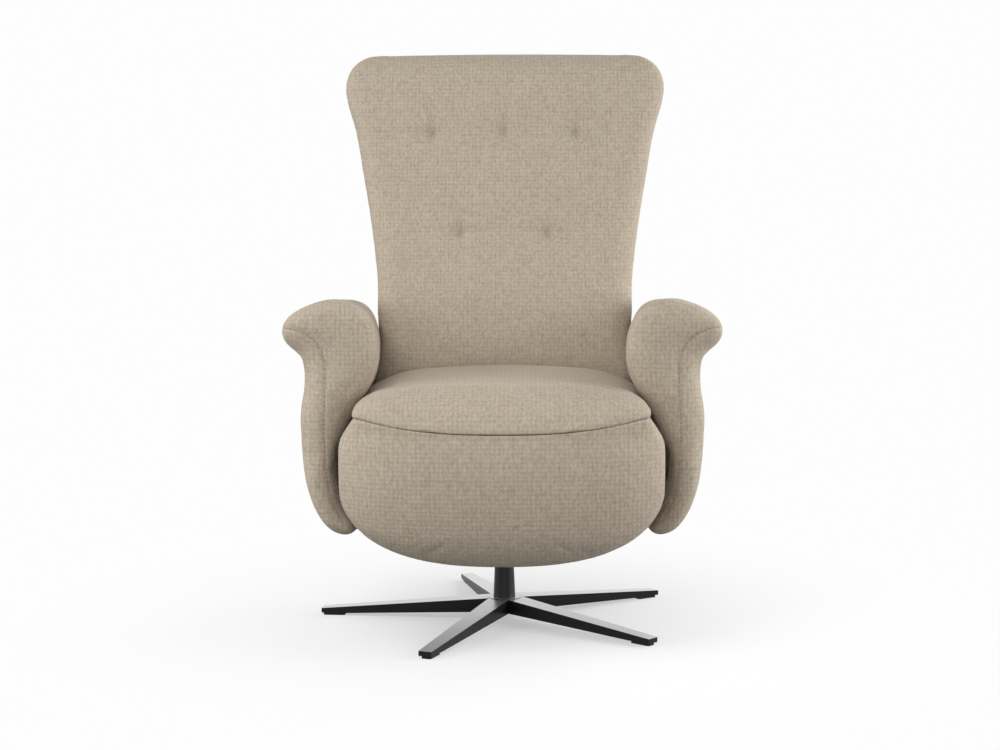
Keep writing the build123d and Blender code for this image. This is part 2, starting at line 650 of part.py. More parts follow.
# Footrest arms: hinge ear, crank ear and a flanged foot on the board
BOARD_BACK_Y = PAD_REAR_Y + BOARD_THICKNESS
for side, label in SIDES:
    with BuildPart() as footrest_arm:
        with BuildSketch(plate_plane(side, PLATE_X, ARM_PLATE)):
            leg_y = BOARD_BACK_Y + EYE_RADIUS + RUNNING_GAP
            leg_top = (leg_y, CRANK_PIN_Z - 2 * RUNNING_GAP)
            leg_low = (leg_y, BOARD_TOP - BOARD_HEIGHT + 2 * EYE_RADIUS)
            crank_eye = (CRANK_PIN_Y, CRANK_PIN_Z)
            tapered_bar((FOOT_PIVOT_Y, FOOT_PIVOT_Z), EAR_RADIUS, crank_eye, EYE_RADIUS)
            tapered_bar(crank_eye, EYE_RADIUS, leg_top, EYE_RADIUS)
            tapered_bar(leg_top, EYE_RADIUS, leg_low, EYE_RADIUS)
            with Locations((FOOT_PIVOT_Y, FOOT_PIVOT_Z)):
                Circle(PIVOT_RADIUS + FIT, mode=Mode.SUBTRACT)
            with Locations(crank_eye):
                Circle(CRANK_PIN_RADIUS + FIT, mode=Mode.SUBTRACT)
        extrude(amount=ARM_PLATE)
        flange_x = side * (PLATE_X + (ARM_PLATE - FLANGE_WIDTH) / 2)
        with BuildSketch(Plane.XZ.offset(-BOARD_BACK_Y - ARM_PLATE)):
            with Locations((flange_x, (BOARD_TOP + leg_low[1]) / 2)):
                Rectangle(FLANGE_WIDTH, BOARD_TOP - leg_low[1])
        extrude(amount=ARM_PLATE)
    export_piece(footrest_arm.part, f"{label}_footrest_arm")

# Pivot bolts of the footrest, through rail and footrest arm, with a head inside the rail
with BuildPart() as footrest_pivots:
    for side, label in SIDES:
        span = RAIL_THICKNESS + RUNNING_GAP + ARM_PLATE
        with BuildSketch(plate_plane(side, RAIL_INNER_X, span)):
            with Locations((FOOT_PIVOT_Y, FOOT_PIVOT_Z)):
                Circle(PIVOT_RADIUS)
        extrude(amount=span)
        with BuildSketch(plate_plane(side, RAIL_OUTER_X, RUNNING_GAP)):
            with Locations((FOOT_PIVOT_Y, FOOT_PIVOT_Z)):
                Circle(PIVOT_RADIUS * WASHER_RATIO)
        extrude(amount=RUNNING_GAP)
export_piece(footrest_pivots.part, "footrest_pivots")

# Crank pins on the footrest arms
with BuildPart() as crank_pins:
    for side, label in SIDES:
        span = ARM_PLATE + RUNNING_GAP + LINK_PLATE
        with BuildSketch(plate_plane(side, PLATE_X, span)):
            with Locations((CRANK_PIN_Y, CRANK_PIN_Z)):
                Circle(CRANK_PIN_RADIUS)
        extrude(amount=span)
export_piece(crank_pins.part, "crank_pins")

# Links from the back's levers to the footrest's cranks. The front eye is a slot, open
# downwards, which takes up the difference between the two cranks' dips.
for side, label in SIDES:
    with BuildPart() as sync_link:
        with BuildSketch(plate_plane(side, LINK_X, LINK_PLATE)):
            front_eye = (CRANK_PIN_Y, CRANK_PIN_Z - SLOT_PLAY / 2)
            neck = (CRANK_PIN_Y + 3 * EYE_RADIUS, CRANK_PIN_Z)
            tapered_bar(front_eye, EYE_RADIUS + SLOT_PLAY / 2, neck, LINK_WIDTH / 2)
            tapered_bar(neck, LINK_WIDTH / 2, (SHAFT_Y, SHAFT_Z), EYE_RADIUS)
            with Locations((SHAFT_Y, SHAFT_Z)):
                Circle(SHAFT_RADIUS + FIT, mode=Mode.SUBTRACT)
            with Locations(front_eye):
                SlotCenterToCenter(
                    SLOT_PLAY, 2 * (CRANK_PIN_RADIUS + EYE_PLAY), rotation=90, mode=Mode.SUBTRACT
                )
        extrude(amount=LINK_PLATE)
    export_piece(sync_link.part, f"{label}_sync_link")


def back_half_width(v):
    """Return half the back's width at height v: waist, flaring shoulders, round corners."""
    if v <= WAIST_AT:
        rise = (WAIST_AT - v) / WAIST_AT
        return WAIST_HALF_WIDTH - WAIST_TAPER * rise ** 2
    if v <= SHOULDER_AT:
        rise = (v - WAIST_AT) / (SHOULDER_AT - WAIST_AT)
        return WAIST_HALF_WIDTH + (SHOULDER_HALF_WIDTH - WAIST_HALF_WIDTH) * rise ** FLARE_POWER
    rise = (v - SHOULDER_AT) / (BACK_LENGTH - SHOULDER_AT)
    return SHOULDER_HALF_WIDTH - TOP_CORNER * (1 - sqrt(max(0.0, 1 - rise ** 2)))


def back_depth(v):
    """Return the back cushion's thickness at height v."""
    if v <= SHOULDER_AT:
        share = (v - BACK_START) / (SHOULDER_AT - BACK_START)
        end = max(0.0, 1 - (v - BACK_START) / LOWER_EDGE_LENGTH)
        thinning = (BACK_TOP_THICKNESS - BACK_THICKNESS) * share
        return BACK_THICKNESS + thinning - LOWER_EDGE_FALL * end ** 2
    rise = (v - SHOULDER_AT) / (BACK_LENGTH - SHOULDER_AT)
    return BACK_TOP_THICKNESS * (TOP_EDGE_SHARE + (1 - TOP_EDGE_SHARE) * sqrt(max(0.0, 1 - rise ** 2)))


def back_section(v):
    """Return the outline across the back cushion at height v: flat behind, crowned in front."""
    half = back_half_width(v)
    depth = back_depth(v)
    crown = FRONT_CROWN * depth / BACK_THICKNESS
    with BuildSketch(Plane(BACK_ORIGIN + BACK_UP * v, x_dir=(1, 0, 0), z_dir=BACK_UP)) as section:
        with BuildLine():
            Line((SIDE_ROLL - half, 0), (half - SIDE_ROLL, 0))
            ThreePointArc(
                (half - SIDE_ROLL, 0),
                (half, -0.5 * depth),
                (half - SIDE_ROLL, crown - depth),
            )
            ThreePointArc(
                (half - SIDE_ROLL, crown - depth),
                (0, -depth),
                (SIDE_ROLL - half, crown - depth),
            )
            ThreePointArc(
                (SIDE_ROLL - half, crown - depth),
                (-half, -0.5 * depth),
                (SIDE_ROLL - half, 0),
            )
        make_face()
    return section.sketch


SECTION_HEIGHTS = [
    *[BACK_START + (WAIST_AT - BACK_START) * step / LOWER_STEPS for step in range(LOWER_STEPS)],
    *[WAIST_AT + (SHOULDER_AT - WAIST_AT) * step / MIDDLE_STEPS for step in range(MIDDLE_STEPS + 1)],
    *[SHOULDER_AT + (BACK_LENGTH - SHOULDER_AT) * share for share in TOP_STEPS],
]
BACK_SECTIONS = [back_section(v) for v in SECTION_HEIGHTS]


def tufts(v, xs):
    """Sink a row of round tufts into the front of the current part."""
    ball = (TUFT_WIDTH ** 2 / 4 + TUFT_DEPTH ** 2) / (2 * TUFT_DEPTH)
    for x in xs:
        with Locations(back_point(x, v, back_depth(v) - TUFT_DEPTH + ball)):
            Sphere(ball, mode=Mode.SUBTRACT)


def fold_plane(angle):
    """Return the plane through the head hinge that opens to the front at this angle."""
    tilt = radians(angle)
    normal = BACK_UP * cos(tilt) - BACK_FRONT * sin(tilt)
    return Plane(back_point(0, HEAD_FOLD_AT, FOLD_W), x_dir=(1, 0, 0), z_dir=normal)


UPPER_TUFTS = (-UPPER_TUFT_PITCH, 0.0, UPPER_TUFT_PITCH)
LOWER_TUFTS = (-LOWER_TUFT_PITCH / 2, LOWER_TUFT_PITCH / 2)

with BuildPart() as back_cushion:
    loft(BACK_SECTIONS)
    split(bisect_by=fold_plane(-WEDGE_HALF_ANGLE), keep=Keep.BOTTOM)
    tufts(LOWER_TUFT_AT, LOWER_TUFTS)
    tufts(HEAD_FOLD_AT, UPPER_TUFTS)
    with BuildSketch(BACK_PLANE):
        with Locations((0, BACK_START)):
            with GridLocations(2 * PLATE_X + ARM_PLATE, 0, 2, 1):
                Rectangle(ARM_PLATE + 2 * RUNNING_GAP, 2 * REBATE_LENGTH)
    extrude(amount=REBATE_DEPTH, mode=Mode.SUBTRACT)
export_piece(back_cushion.part, "back_cushion")

with BuildPart() as head_cushion:
    loft(BACK_SECTIONS)
    split(bisect_by=fold_plane(WEDGE_HALF_ANGLE), keep=Keep.TOP)
    tufts(HEAD_FOLD_AT, UPPER_TUFTS)
export_piece(head_cushion.part, "head_cushion")

with BuildPart() as neck_pad:
    loft(BACK_SECTIONS)
    split(bisect_by=fold_plane(WEDGE_HALF_ANGLE), keep=Keep.BOTTOM)
    split(bisect_by=fold_plane(-WEDGE_HALF_ANGLE), keep=Keep.TOP)
    tufts(HEAD_FOLD_AT, UPPER_TUFTS)
export_piece(neck_pad.part, "neck_pad")

# Back frame: a ladder of bars, with elastic straps between its posts
POST_X = PLATE_X - FRAME_BAR
FRAME_TOP = HEAD_FOLD_AT - FRAME_BAR
TOP_BAR_AT = HEAD_FOLD_AT - HEAD_STRAP_REACH - HEAD_STRAP_WIDTH / 2 - FRAME_BAR
FRAME_PLANE = BACK_PLANE.offset(-FRAME_THICKNESS)
with BuildPart() as back_frame:
    with BuildSketch(FRAME_PLANE):
        with Locations((0, (FRAME_START + FRAME_TOP) / 2)):
            Rectangle(2 * PLATE_X, FRAME_TOP - FRAME_START)
            Rectangle(2 * POST_X, FRAME_TOP - FRAME_START, mode=Mode.SUBTRACT)
        with Locations((0, FRAME_START + FRAME_BAR / 2), (0, WAIST_AT), (0, TOP_BAR_AT)):
            Rectangle(2 * POST_X, FRAME_BAR)
    extrude(amount=FRAME_THICKNESS)
export_piece(back_frame.part, "back_frame")

STRAP_FIELD = TOP_BAR_AT - WAIST_AT - FRAME_BAR
with BuildPart() as back_straps:
    with BuildSketch(BACK_PLANE.offset(-FRAME_THICKNESS / 2)):
        with Locations((0, WAIST_AT + FRAME_BAR / 2 + STRAP_FIELD / 2)):
            with GridLocations(0, STRAP_FIELD / BACK_STRAPS, 1, BACK_STRAPS):
                Rectangle(2 * POST_X, BACK_STRAP_WIDTH)
    extrude(amount=STRAP_THICKNESS)
export_piece(back_straps.part, "back_straps")

# Back plates: pivot, lever below it, and an upright along the frame's post
for side, label in SIDES:
    with BuildPart() as back_plate:
        with BuildSketch(plate_plane(side, PLATE_X, ARM_PLATE)):
            pivot = (BACK_PIVOT_Y, BACK_PIVOT_Z)
            low = back_point(0, FRAME_START + EYE_RADIUS, FOLD_W)
            top = back_point(0, PLATE_REACH, FOLD_W)
            upright = FRAME_THICKNESS / 2 - UPRIGHT_INSET
            tapered_bar(pivot, EAR_RADIUS, (SHAFT_Y, SHAFT_Z), EYE_RADIUS)
            tapered_bar(pivot, EAR_RADIUS, (low.Y, low.Z), upright)
            tapered_bar((low.Y, low.Z), upright, (top.Y, top.Z), upright)
            with Locations(pivot):
                Circle(PIVOT_RADIUS + FIT, mode=Mode.SUBTRACT)
            with Locations((SHAFT_Y, SHAFT_Z)):
                Circle(SHAFT_RADIUS + FIT, mode=Mode.SUBTRACT)
        extrude(amount=ARM_PLATE)
    export_piece(back_plate.part, f"{label}_back_plate")

with BuildPart() as back_pivots:
    for side, label in SIDES:
        span = RAIL_THICKNESS + RUNNING_GAP + ARM_PLATE
        with BuildSketch(plate_plane(side, RAIL_INNER_X, span)):
            with Locations((BACK_PIVOT_Y, BACK_PIVOT_Z)):
                Circle(PIVOT_RADIUS)
        extrude(amount=span)
        with BuildSketch(plate_plane(side, RAIL_OUTER_X, RUNNING_GAP)):
            with Locations((BACK_PIVOT_Y, BACK_PIVOT_Z)):
                Circle(PIVOT_RADIUS * WASHER_RATIO)
        extrude(amount=RUNNING_GAP)
export_piece(back_pivots.part, "back_pivots")

# Lever shaft across the chair, through both back plates and both links
with BuildPart() as lever_shaft:
    with BuildSketch(Plane.YZ.offset(-LINK_OUTER_X)):
        with Locations((SHAFT_Y, SHAFT_Z)):
            Circle(SHAFT_RADIUS)
    extrude(amount=2 * LINK_OUTER_X)
export_piece(lever_shaft.part, "lever_shaft")


def cover_outline():
    """Return the outline of the upholstered rear cover, over the back and the head."""
    waist = WAIST_HALF_WIDTH - COVER_INSET
    shoulder = SHOULDER_HALF_WIDTH - COVER_INSET
    flare = (shoulder - waist) / (SHOULDER_AT - WAIST_AT)
    top = BACK_LENGTH - COVER_ROUND
    corner = shoulder + flare * (top - SHOULDER_AT)
    with BuildSketch(BACK_PLANE.offset(-FRAME_THICKNESS - COVER_THICKNESS)) as outline:
        with BuildLine():
            FilletPolyline(
                (-waist + COVER_INSET, BACK_START),
                (-waist, WAIST_AT),
                (-corner, top),
                (corner, top),
                (waist, WAIST_AT),
                (waist - COVER_INSET, BACK_START),
                radius=(COVER_ROUND, WAIST_AT, TOP_CORNER, TOP_CORNER, WAIST_AT, COVER_ROUND),
                close=True,
            )
        make_face()
        with Locations((0, BACK_START - TAIL_DROP / 2)):
            Rectangle(2 * TAIL_HALF_WIDTH, TAIL_DROP + 2 * COVER_ROUND)
    return outline.sketch


COVER_SPLIT = Plane(BACK_ORIGIN, x_dir=(1, 0, 0), z_dir=BACK_UP)

with BuildPart() as back_cover:
    extrude(cover_outline(), amount=COVER_THICKNESS)
    rim = faces().sort_by(Axis(BACK_ORIGIN, BACK_FRONT))[0]
    fillet(rim.edges(), COVER_ROUND)
    split(bisect_by=COVER_SPLIT.offset(HEAD_FOLD_AT - FOLD_GAP), keep=Keep.BOTTOM)
export_piece(back_cover.part, "back_cover")

with BuildPart() as head_cover:
    extrude(cover_outline(), amount=COVER_THICKNESS)
    rim = faces().sort_by(Axis(BACK_ORIGIN, BACK_FRONT))[0]
    fillet(rim.edges(), COVER_ROUND)
    split(bisect_by=COVER_SPLIT.offset(HEAD_FOLD_AT + FOLD_GAP), keep=Keep.TOP)
export_piece(head_cover.part, "head_cover")

# Head frame and its two friction hinges
HEAD_STRAP_X = POST_X - HINGE_PLATE
HEAD_FRAME_X = HEAD_STRAP_X - RUNNING_GAP - HINGE_PLATE
HEAD_START = HEAD_FOLD_AT + HEAD_STRAP_WIDTH
with BuildPart() as head_frame:
    with BuildSketch(FRAME_PLANE):
        with Locations((0, (HEAD_START + HEAD_FRAME_TOP) / 2)):
            RectangleRounded(2 * HEAD_FRAME_X, HEAD_FRAME_TOP - HEAD_START, FRAME_BAR / 2)
            RectangleRounded(
                2 * (HEAD_FRAME_X - FRAME_BAR),
                HEAD_FRAME_TOP - HEAD_START - 2 * FRAME_BAR,
                FRAME_BAR / 2,
                mode=Mode.SUBTRACT,
            )
    extrude(amount=FRAME_THICKNESS)
export_piece(head_frame.part, "head_frame")

fold = back_point(0, HEAD_FOLD_AT, FOLD_W)
for piece_name, strap_x, strap_end in (
    ("back_hinge_straps", HEAD_STRAP_X, HEAD_FOLD_AT - HEAD_STRAP_REACH),
    ("head_hinge_straps", HEAD_FRAME_X, HEAD_FOLD_AT + HEAD_STRAP_REACH),
):
    with BuildPart() as hinge_straps:
        for side, label in SIDES:
            end = back_point(0, strap_end, FOLD_W)
            with BuildSketch(plate_plane(side, strap_x, HINGE_PLATE)):
                strap_round = HEAD_STRAP_WIDTH / 2
                tapered_bar((fold.Y, fold.Z), strap_round, (end.Y, end.Z), strap_round)
                with Locations((fold.Y, fold.Z)):
                    Circle(HEAD_PIN_RADIUS + FIT, mode=Mode.SUBTRACT)
            extrude(amount=HINGE_PLATE)
    export_piece(hinge_straps.part, piece_name)

with BuildPart() as head_pins:
    for side, label in SIDES:
        span = 2 * HINGE_PLATE + RUNNING_GAP
        with BuildSketch(plate_plane(side, HEAD_FRAME_X, span)):
            with Locations((fold.Y, fold.Z)):
                Circle(HEAD_PIN_RADIUS)
        extrude(amount=span)
        with BuildSketch(plate_plane(side, HEAD_FRAME_X + HINGE_PLATE, RUNNING_GAP)):
            with Locations((fold.Y, fold.Z)):
                Circle(HEAD_PIN_RADIUS * WASHER_RATIO)
        extrude(amount=RUNNING_GAP)
export_piece(head_pins.part, "head_pins")

# Arms: a wooden core on two tubes from the rail, inside a sculpted soft arm with a horn
CREST_Z = ARM_TOE_Z + ARM_HEIGHT
CORE_Z = ARM_TOE_Z + CORE_RISE
CORE_Y = ARM_FRONT_Y + CORE_FRONT
CORE_LENGTH = ARM_LENGTH - CORE_FRONT - CORE_REAR
MOUNT_Z = RAIL_Z + MOUNT_RISE


def arm_outline(share):
    """Return the arm's outline points: up from the hip over horn and pad, and down from the wall to the toe.

    The share runs from 0 at the front to 1 at the rear, where the pad is narrower and lower.
    """
    pad_width = ARM_PAD_WIDTH + share * (ARM_REAR_PAD_WIDTH - ARM_PAD_WIDTH)
    crest = CREST_Z - share * ARM_REAR_DROP
    wall = ARM_OUTER_X - ARM_WALL
    upper = [(ARM_OUTER_X, ARM_TOE_Z + ARM_HIP_RISE)]
    upper += [(ARM_OUTER_X - a * ARM_WAIST_INSET, crest - b * ARM_WAIST_DROP) for a, b in WAIST]
    upper += [(ARM_OUTER_X + a * HORN_FLARE, crest - b * HORN_DROP) for a, b in HORN]
    upper += [(ARM_OUTER_X - a * pad_width, crest - b * ARM_PAD_DEPTH) for a, b in PAD_TOP]
    upper += [(wall - a * (pad_width - ARM_WALL), crest - b * ARM_PAD_DEPTH) for a, b in SCOOP]
    lower = [(wall - a * (ARM_TUCK - ARM_WALL), ARM_TOE_Z + b * ARM_TOE_RISE) for a, b in TOE_INSIDE]
    lower += [(ARM_OUTER_X - a * ARM_TUCK, ARM_TOE_Z + b * ARM_HIP_RISE) for a, b in SOLE]
    return [Vector(*point) for point in upper], [Vector(*point) for point in lower]


def arm_section(side, share, inset):
    """Return the arm's section at this share of its length, drawn in by inset."""
    y = ARM_FRONT_Y + share * ARM_LENGTH
    upper, lower = arm_outline(share)
    points = upper + lower
    corners = []
    for before, point, after in zip(points[-1:] + points, points, points[1:] + points[:1]):
        along = (after - before).normalized()
        drawn = point + Vector(-along.Y, along.X) * inset
        corners.append((side * drawn.X, drawn.Y))
    with BuildSketch(Plane.XZ.offset(-y)) as section:
        with BuildLine():
            Spline(*corners[: len(upper) + 1])
            Spline(*corners[len(upper):], corners[0])
        make_face()
    return section.sketch


for side, label in SIDES:
    with BuildPart() as arm_core:
        with BuildSketch(plate_plane(side, CORE_X, CORE_THICKNESS)):
            with Locations((CORE_Y + CORE_LENGTH / 2, CORE_Z + CORE_HEIGHT / 2)):
                RectangleRounded(CORE_LENGTH, CORE_HEIGHT, CORE_CORNER)
        extrude(amount=CORE_THICKNESS)
    export_piece(arm_core.part, f"{label}_arm_core")

    with BuildPart() as arm_mounts:
        with BuildSketch(plate_plane(side, RAIL_OUTER_X, CORE_X - RAIL_OUTER_X)):
            for mount_y in MOUNT_YS:
                with Locations((mount_y, MOUNT_Z + MOUNT_HEIGHT / 2)):
                    RectangleRounded(MOUNT_WIDTH, MOUNT_HEIGHT, MOUNT_WALL)
                    Rectangle(
                        MOUNT_WIDTH - 2 * MOUNT_WALL, MOUNT_HEIGHT - 2 * MOUNT_WALL, mode=Mode.SUBTRACT
                    )
        extrude(amount=CORE_X - RAIL_OUTER_X)
    export_piece(arm_mounts.part, f"{label}_arm_mounts")

    with BuildPart() as arm_cushion:
        edge_share = ARM_EDGE / ARM_LENGTH
        front_end = []
        rear_end = []
        for step, draw in ARM_EDGE_STEPS:
            front_end.append(arm_section(side, step * edge_share, draw * ARM_EDGE))
            rear_end.insert(0, arm_section(side, 1 - step * edge_share, draw * ARM_EDGE))
        loft(front_end + rear_end, ruled=True)
        with BuildSketch(plate_plane(side, CORE_X, CORE_THICKNESS)):
            with Locations((CORE_Y + CORE_LENGTH / 2, CORE_Z + CORE_HEIGHT / 2)):
                RectangleRounded(CORE_LENGTH + 2 * POCKET_FIT, CORE_HEIGHT + 2 * POCKET_FIT, CORE_CORNER)
        extrude(amount=CORE_THICKNESS, mode=Mode.SUBTRACT)
        with BuildSketch(plate_plane(side, RAIL_OUTER_X, CORE_X - RAIL_OUTER_X)):
            for mount_y in MOUNT_YS:
                with Locations((mount_y, MOUNT_Z + MOUNT_HEIGHT / 2)):
                    Rectangle(MOUNT_WIDTH + 2 * POCKET_FIT, MOUNT_HEIGHT + 2 * POCKET_FIT)
        extrude(amount=CORE_X - RAIL_OUTER_X, mode=Mode.SUBTRACT)
    export_piece(arm_cushion.part, f"{label}_arm_cushion")

# Rear apron on the rails' tails
with BuildPart() as rear_apron:
    with BuildSketch(Plane.XZ.offset(-RAIL_TAIL_Y - APRON_THICKNESS)):
        with Locations((0, RAIL_Z + APRON_HEIGHT / 2)):
            RectangleRounded(2 * APRON_HALF_WIDTH, APRON_HEIGHT, APRON_CORNER)
    extrude(amount=APRON_THICKNESS)
    rear_edges = faces().filter_by(Axis.Y).sort_by(Axis.Y)[-1].edges()
    fillet(rear_edges, APRON_ROUND)
export_piece(rear_apron.part, "rear_apron")

# Gas spring between the front cross tube and the lever shaft
GAS_PIVOT_Z = RAIL_Z + TUBE_HEIGHT + GAS_BODY_RADIUS + GAS_RISE
GAS_START = Vector(0, GAS_PIVOT_Y, GAS_PIVOT_Z)
GAS_END = Vector(0, SHAFT_Y, SHAFT_Z)
GAS_DIRECTION = (GAS_END - GAS_START).normalized()
GAS_LENGTH = (GAS_END - GAS_START).length
GAS_PLANE = Plane(GAS_START, x_dir=(1, 0, 0), z_dir=GAS_DIRECTION)
CLEVIS_INNER = GAS_EYE_WIDTH / 2 + RUNNING_GAP / 3
TUBE_FACE_Y = -BOLT_PITCH / 2 - TUBE_WIDTH / 2
with BuildPart() as gas_clevis:
    for side, label in SIDES:
        with BuildSketch(plate_plane(side, CLEVIS_INNER, CLEVIS_WALL)):
            clevis_foot = (TUBE_FACE_Y - EYE_RADIUS, RAIL_Z + TUBE_HEIGHT / 2)
            tapered_bar((GAS_PIVOT_Y, GAS_PIVOT_Z), EYE_RADIUS, clevis_foot, EYE_RADIUS)
            with Locations((GAS_PIVOT_Y, GAS_PIVOT_Z)):
                Circle(GAS_PIN_RADIUS + FIT, mode=Mode.SUBTRACT)
        extrude(amount=CLEVIS_WALL)
    with BuildSketch(Plane.XZ.offset(-TUBE_FACE_Y)):
        with Locations((0, RAIL_Z + TUBE_HEIGHT / 2)):
            Rectangle(2 * (CLEVIS_INNER + CLEVIS_WALL), TUBE_HEIGHT - 2 * CLEVIS_WALL)
    extrude(amount=CLEVIS_WALL)
export_piece(gas_clevis.part, "gas_clevis")

with BuildPart() as gas_pin:
    with BuildSketch(Plane.YZ.offset(-CLEVIS_INNER - CLEVIS_WALL)):
        with Locations((GAS_PIVOT_Y, GAS_PIVOT_Z)):
            Circle(GAS_PIN_RADIUS)
    extrude(amount=2 * (CLEVIS_INNER + CLEVIS_WALL))
export_piece(gas_pin.part, "gas_pin")

with BuildPart() as gas_cylinder:
    with BuildSketch(Plane.YZ.offset(-GAS_EYE_WIDTH / 2)):
        neck = GAS_START + GAS_DIRECTION * (2 * EYE_RADIUS)
        tapered_bar((GAS_PIVOT_Y, GAS_PIVOT_Z), GAS_NECK_RADIUS, (neck.Y, neck.Z), GAS_NECK_RADIUS)
        with Locations((GAS_PIVOT_Y, GAS_PIVOT_Z)):
            Circle(GAS_PIN_RADIUS + FIT, mode=Mode.SUBTRACT)
    extrude(amount=GAS_EYE_WIDTH)
    with BuildSketch(GAS_PLANE.offset(2 * EYE_RADIUS)):
        Circle(GAS_BODY_RADIUS)
    extrude(amount=GAS_BODY_LENGTH - 2 * EYE_RADIUS)
    with BuildSketch(GAS_PLANE.offset(3 * EYE_RADIUS)):
        Circle(GAS_ROD_RADIUS + FIT)
    extrude(amount=GAS_BODY_LENGTH - 3 * EYE_RADIUS, mode=Mode.SUBTRACT)
export_piece(gas_cylinder.part, "gas_cylinder")

# Gas rod: its eye is a slot too, open downwards, for the lever's dip
GAS_PLAY = LEVER_DIP + EYE_PLAY
with BuildPart() as gas_rod:
    with BuildSketch(Plane.YZ.offset(-GAS_EYE_WIDTH / 2)):
        eye = (SHAFT_Y, SHAFT_Z - GAS_PLAY / 2)
        rod_neck = (SHAFT_Y - 2 * EYE_RADIUS, SHAFT_Z)
        tapered_bar(eye, GAS_EYE_RADIUS + GAS_PLAY / 2, rod_neck, GAS_NECK_RADIUS)
        with Locations(eye):
            SlotCenterToCenter(GAS_PLAY, 2 * (SHAFT_RADIUS + EYE_PLAY), rotation=90, mode=Mode.SUBTRACT)
    extrude(amount=GAS_EYE_WIDTH)
    rod_start = GAS_LENGTH - 2 * EYE_RADIUS
    rod_length = rod_start - GAS_BODY_LENGTH + 2 * EYE_RADIUS
    with BuildSketch(GAS_PLANE.offset(rod_start)):
        Circle(GAS_ROD_RADIUS)
    extrude(amount=-rod_length)
export_piece(gas_rod.part, "gas_rod")

# Release lever under the right arm, on a stub shaft from the rail
LEVER_Z = MOUNT_Z + MOUNT_HEIGHT / 2
LEVER_X = LINK_OUTER_X + LEVER_GAP
with BuildPart() as lever_stub:
    with BuildSketch(Plane.YZ.offset(RAIL_OUTER_X)):
        with Locations((LEVER_Y, LEVER_Z)):
            Circle(LEVER_SHAFT_RADIUS)
    extrude(amount=LEVER_X + LEVER_PLATE - RAIL_OUTER_X)
    with BuildSketch(Plane.YZ.offset(RAIL_OUTER_X)):
        with Locations((LEVER_Y, LEVER_Z)):
            Circle(LEVER_SHAFT_RADIUS * WASHER_RATIO)
    extrude(amount=LEVER_X - RUNNING_GAP / 3 - RAIL_OUTER_X)
export_piece(lever_stub.part, "lever_stub")

LEVER_FORWARD = Vector(0, -cos(radians(LEVER_TILT)), -sin(radians(LEVER_TILT)))
LEVER_TIP = Vector(0, LEVER_Y, LEVER_Z) + LEVER_FORWARD * LEVER_LENGTH
with BuildPart() as release_lever:
    with BuildSketch(Plane.YZ.offset(LEVER_X)):
        lever_end = (LEVER_TIP.Y, LEVER_TIP.Z)
        tapered_bar((LEVER_Y, LEVER_Z), 2 * LEVER_SHAFT_RADIUS, lever_end, LEVER_SHAFT_RADIUS)
        with Locations((LEVER_Y, LEVER_Z)):
            Circle(LEVER_SHAFT_RADIUS + FIT, mode=Mode.SUBTRACT)
    extrude(amount=LEVER_PLATE)
    paddle_up = LEVER_FORWARD.cross(Vector(1, 0, 0))
    paddle_side = Vector(LEVER_X + PADDLE_WIDTH / 2 - LEVER_PLATE, 0, 0)
    paddle_base = LEVER_TIP + paddle_side - paddle_up * (PADDLE_THICKNESS / 2)
    with BuildSketch(Plane(paddle_base, x_dir=(1, 0, 0), z_dir=paddle_up)):
        RectangleRounded(PADDLE_WIDTH, PADDLE_LENGTH, PADDLE_WIDTH / 4)
    extrude(amount=PADDLE_THICKNESS)
export_piece(release_lever.part, "release_lever")
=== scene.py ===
import json
import math

import bpy
import numpy as np
from mathutils import Matrix, Vector
from mathutils.bvhtree import BVHTree


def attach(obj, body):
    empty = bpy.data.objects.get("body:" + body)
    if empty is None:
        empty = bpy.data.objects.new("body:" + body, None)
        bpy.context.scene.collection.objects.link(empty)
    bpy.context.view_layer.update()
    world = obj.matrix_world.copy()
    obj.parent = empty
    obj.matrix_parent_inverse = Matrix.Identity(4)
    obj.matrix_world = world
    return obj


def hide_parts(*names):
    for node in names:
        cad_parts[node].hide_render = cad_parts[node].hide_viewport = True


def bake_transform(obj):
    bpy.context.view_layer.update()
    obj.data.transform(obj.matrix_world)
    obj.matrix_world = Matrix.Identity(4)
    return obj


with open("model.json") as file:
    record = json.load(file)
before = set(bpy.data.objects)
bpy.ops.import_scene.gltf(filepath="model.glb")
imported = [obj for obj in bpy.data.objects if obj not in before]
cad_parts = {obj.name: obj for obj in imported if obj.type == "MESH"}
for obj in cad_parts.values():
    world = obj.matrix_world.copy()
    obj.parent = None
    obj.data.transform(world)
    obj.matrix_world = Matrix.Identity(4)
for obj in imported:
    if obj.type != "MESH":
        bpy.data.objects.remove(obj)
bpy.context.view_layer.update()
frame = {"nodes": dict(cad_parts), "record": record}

SCENE = bpy.context.scene
NODES = frame["nodes"]

# Camera, fitted to the five leg tips
FOCAL_LENGTH = 64.8
SENSOR_WIDTH = 36.0
CAMERA_DISTANCE = 3.413
CAMERA_HEIGHT = 0.788
CAMERA_PITCH = math.radians(5.35)
CAMERA_AZIMUTH = math.radians(0.84)
CAMERA_ROLL = math.radians(-0.2)
CAMERA_OFFSET = -0.0070

# A name that ends in X, Y or Z holds a place or a range along that axis of the chair, in metres.
# U, V and W are the leaning back's own axes: across, up along it and to the front.
BACK_LEAN = math.radians(17.0)
BACK_UP = np.array((0.0, math.sin(BACK_LEAN), math.cos(BACK_LEAN)))
BACK_FRONT = np.array((0.0, -math.cos(BACK_LEAN), math.sin(BACK_LEAN)))
BACK_FOOT = np.array((0.0, 0.190, 0.415))
BACK_SETBACK = 0.005
BACK_ORIGIN = BACK_FOOT - BACK_SETBACK * BACK_FRONT

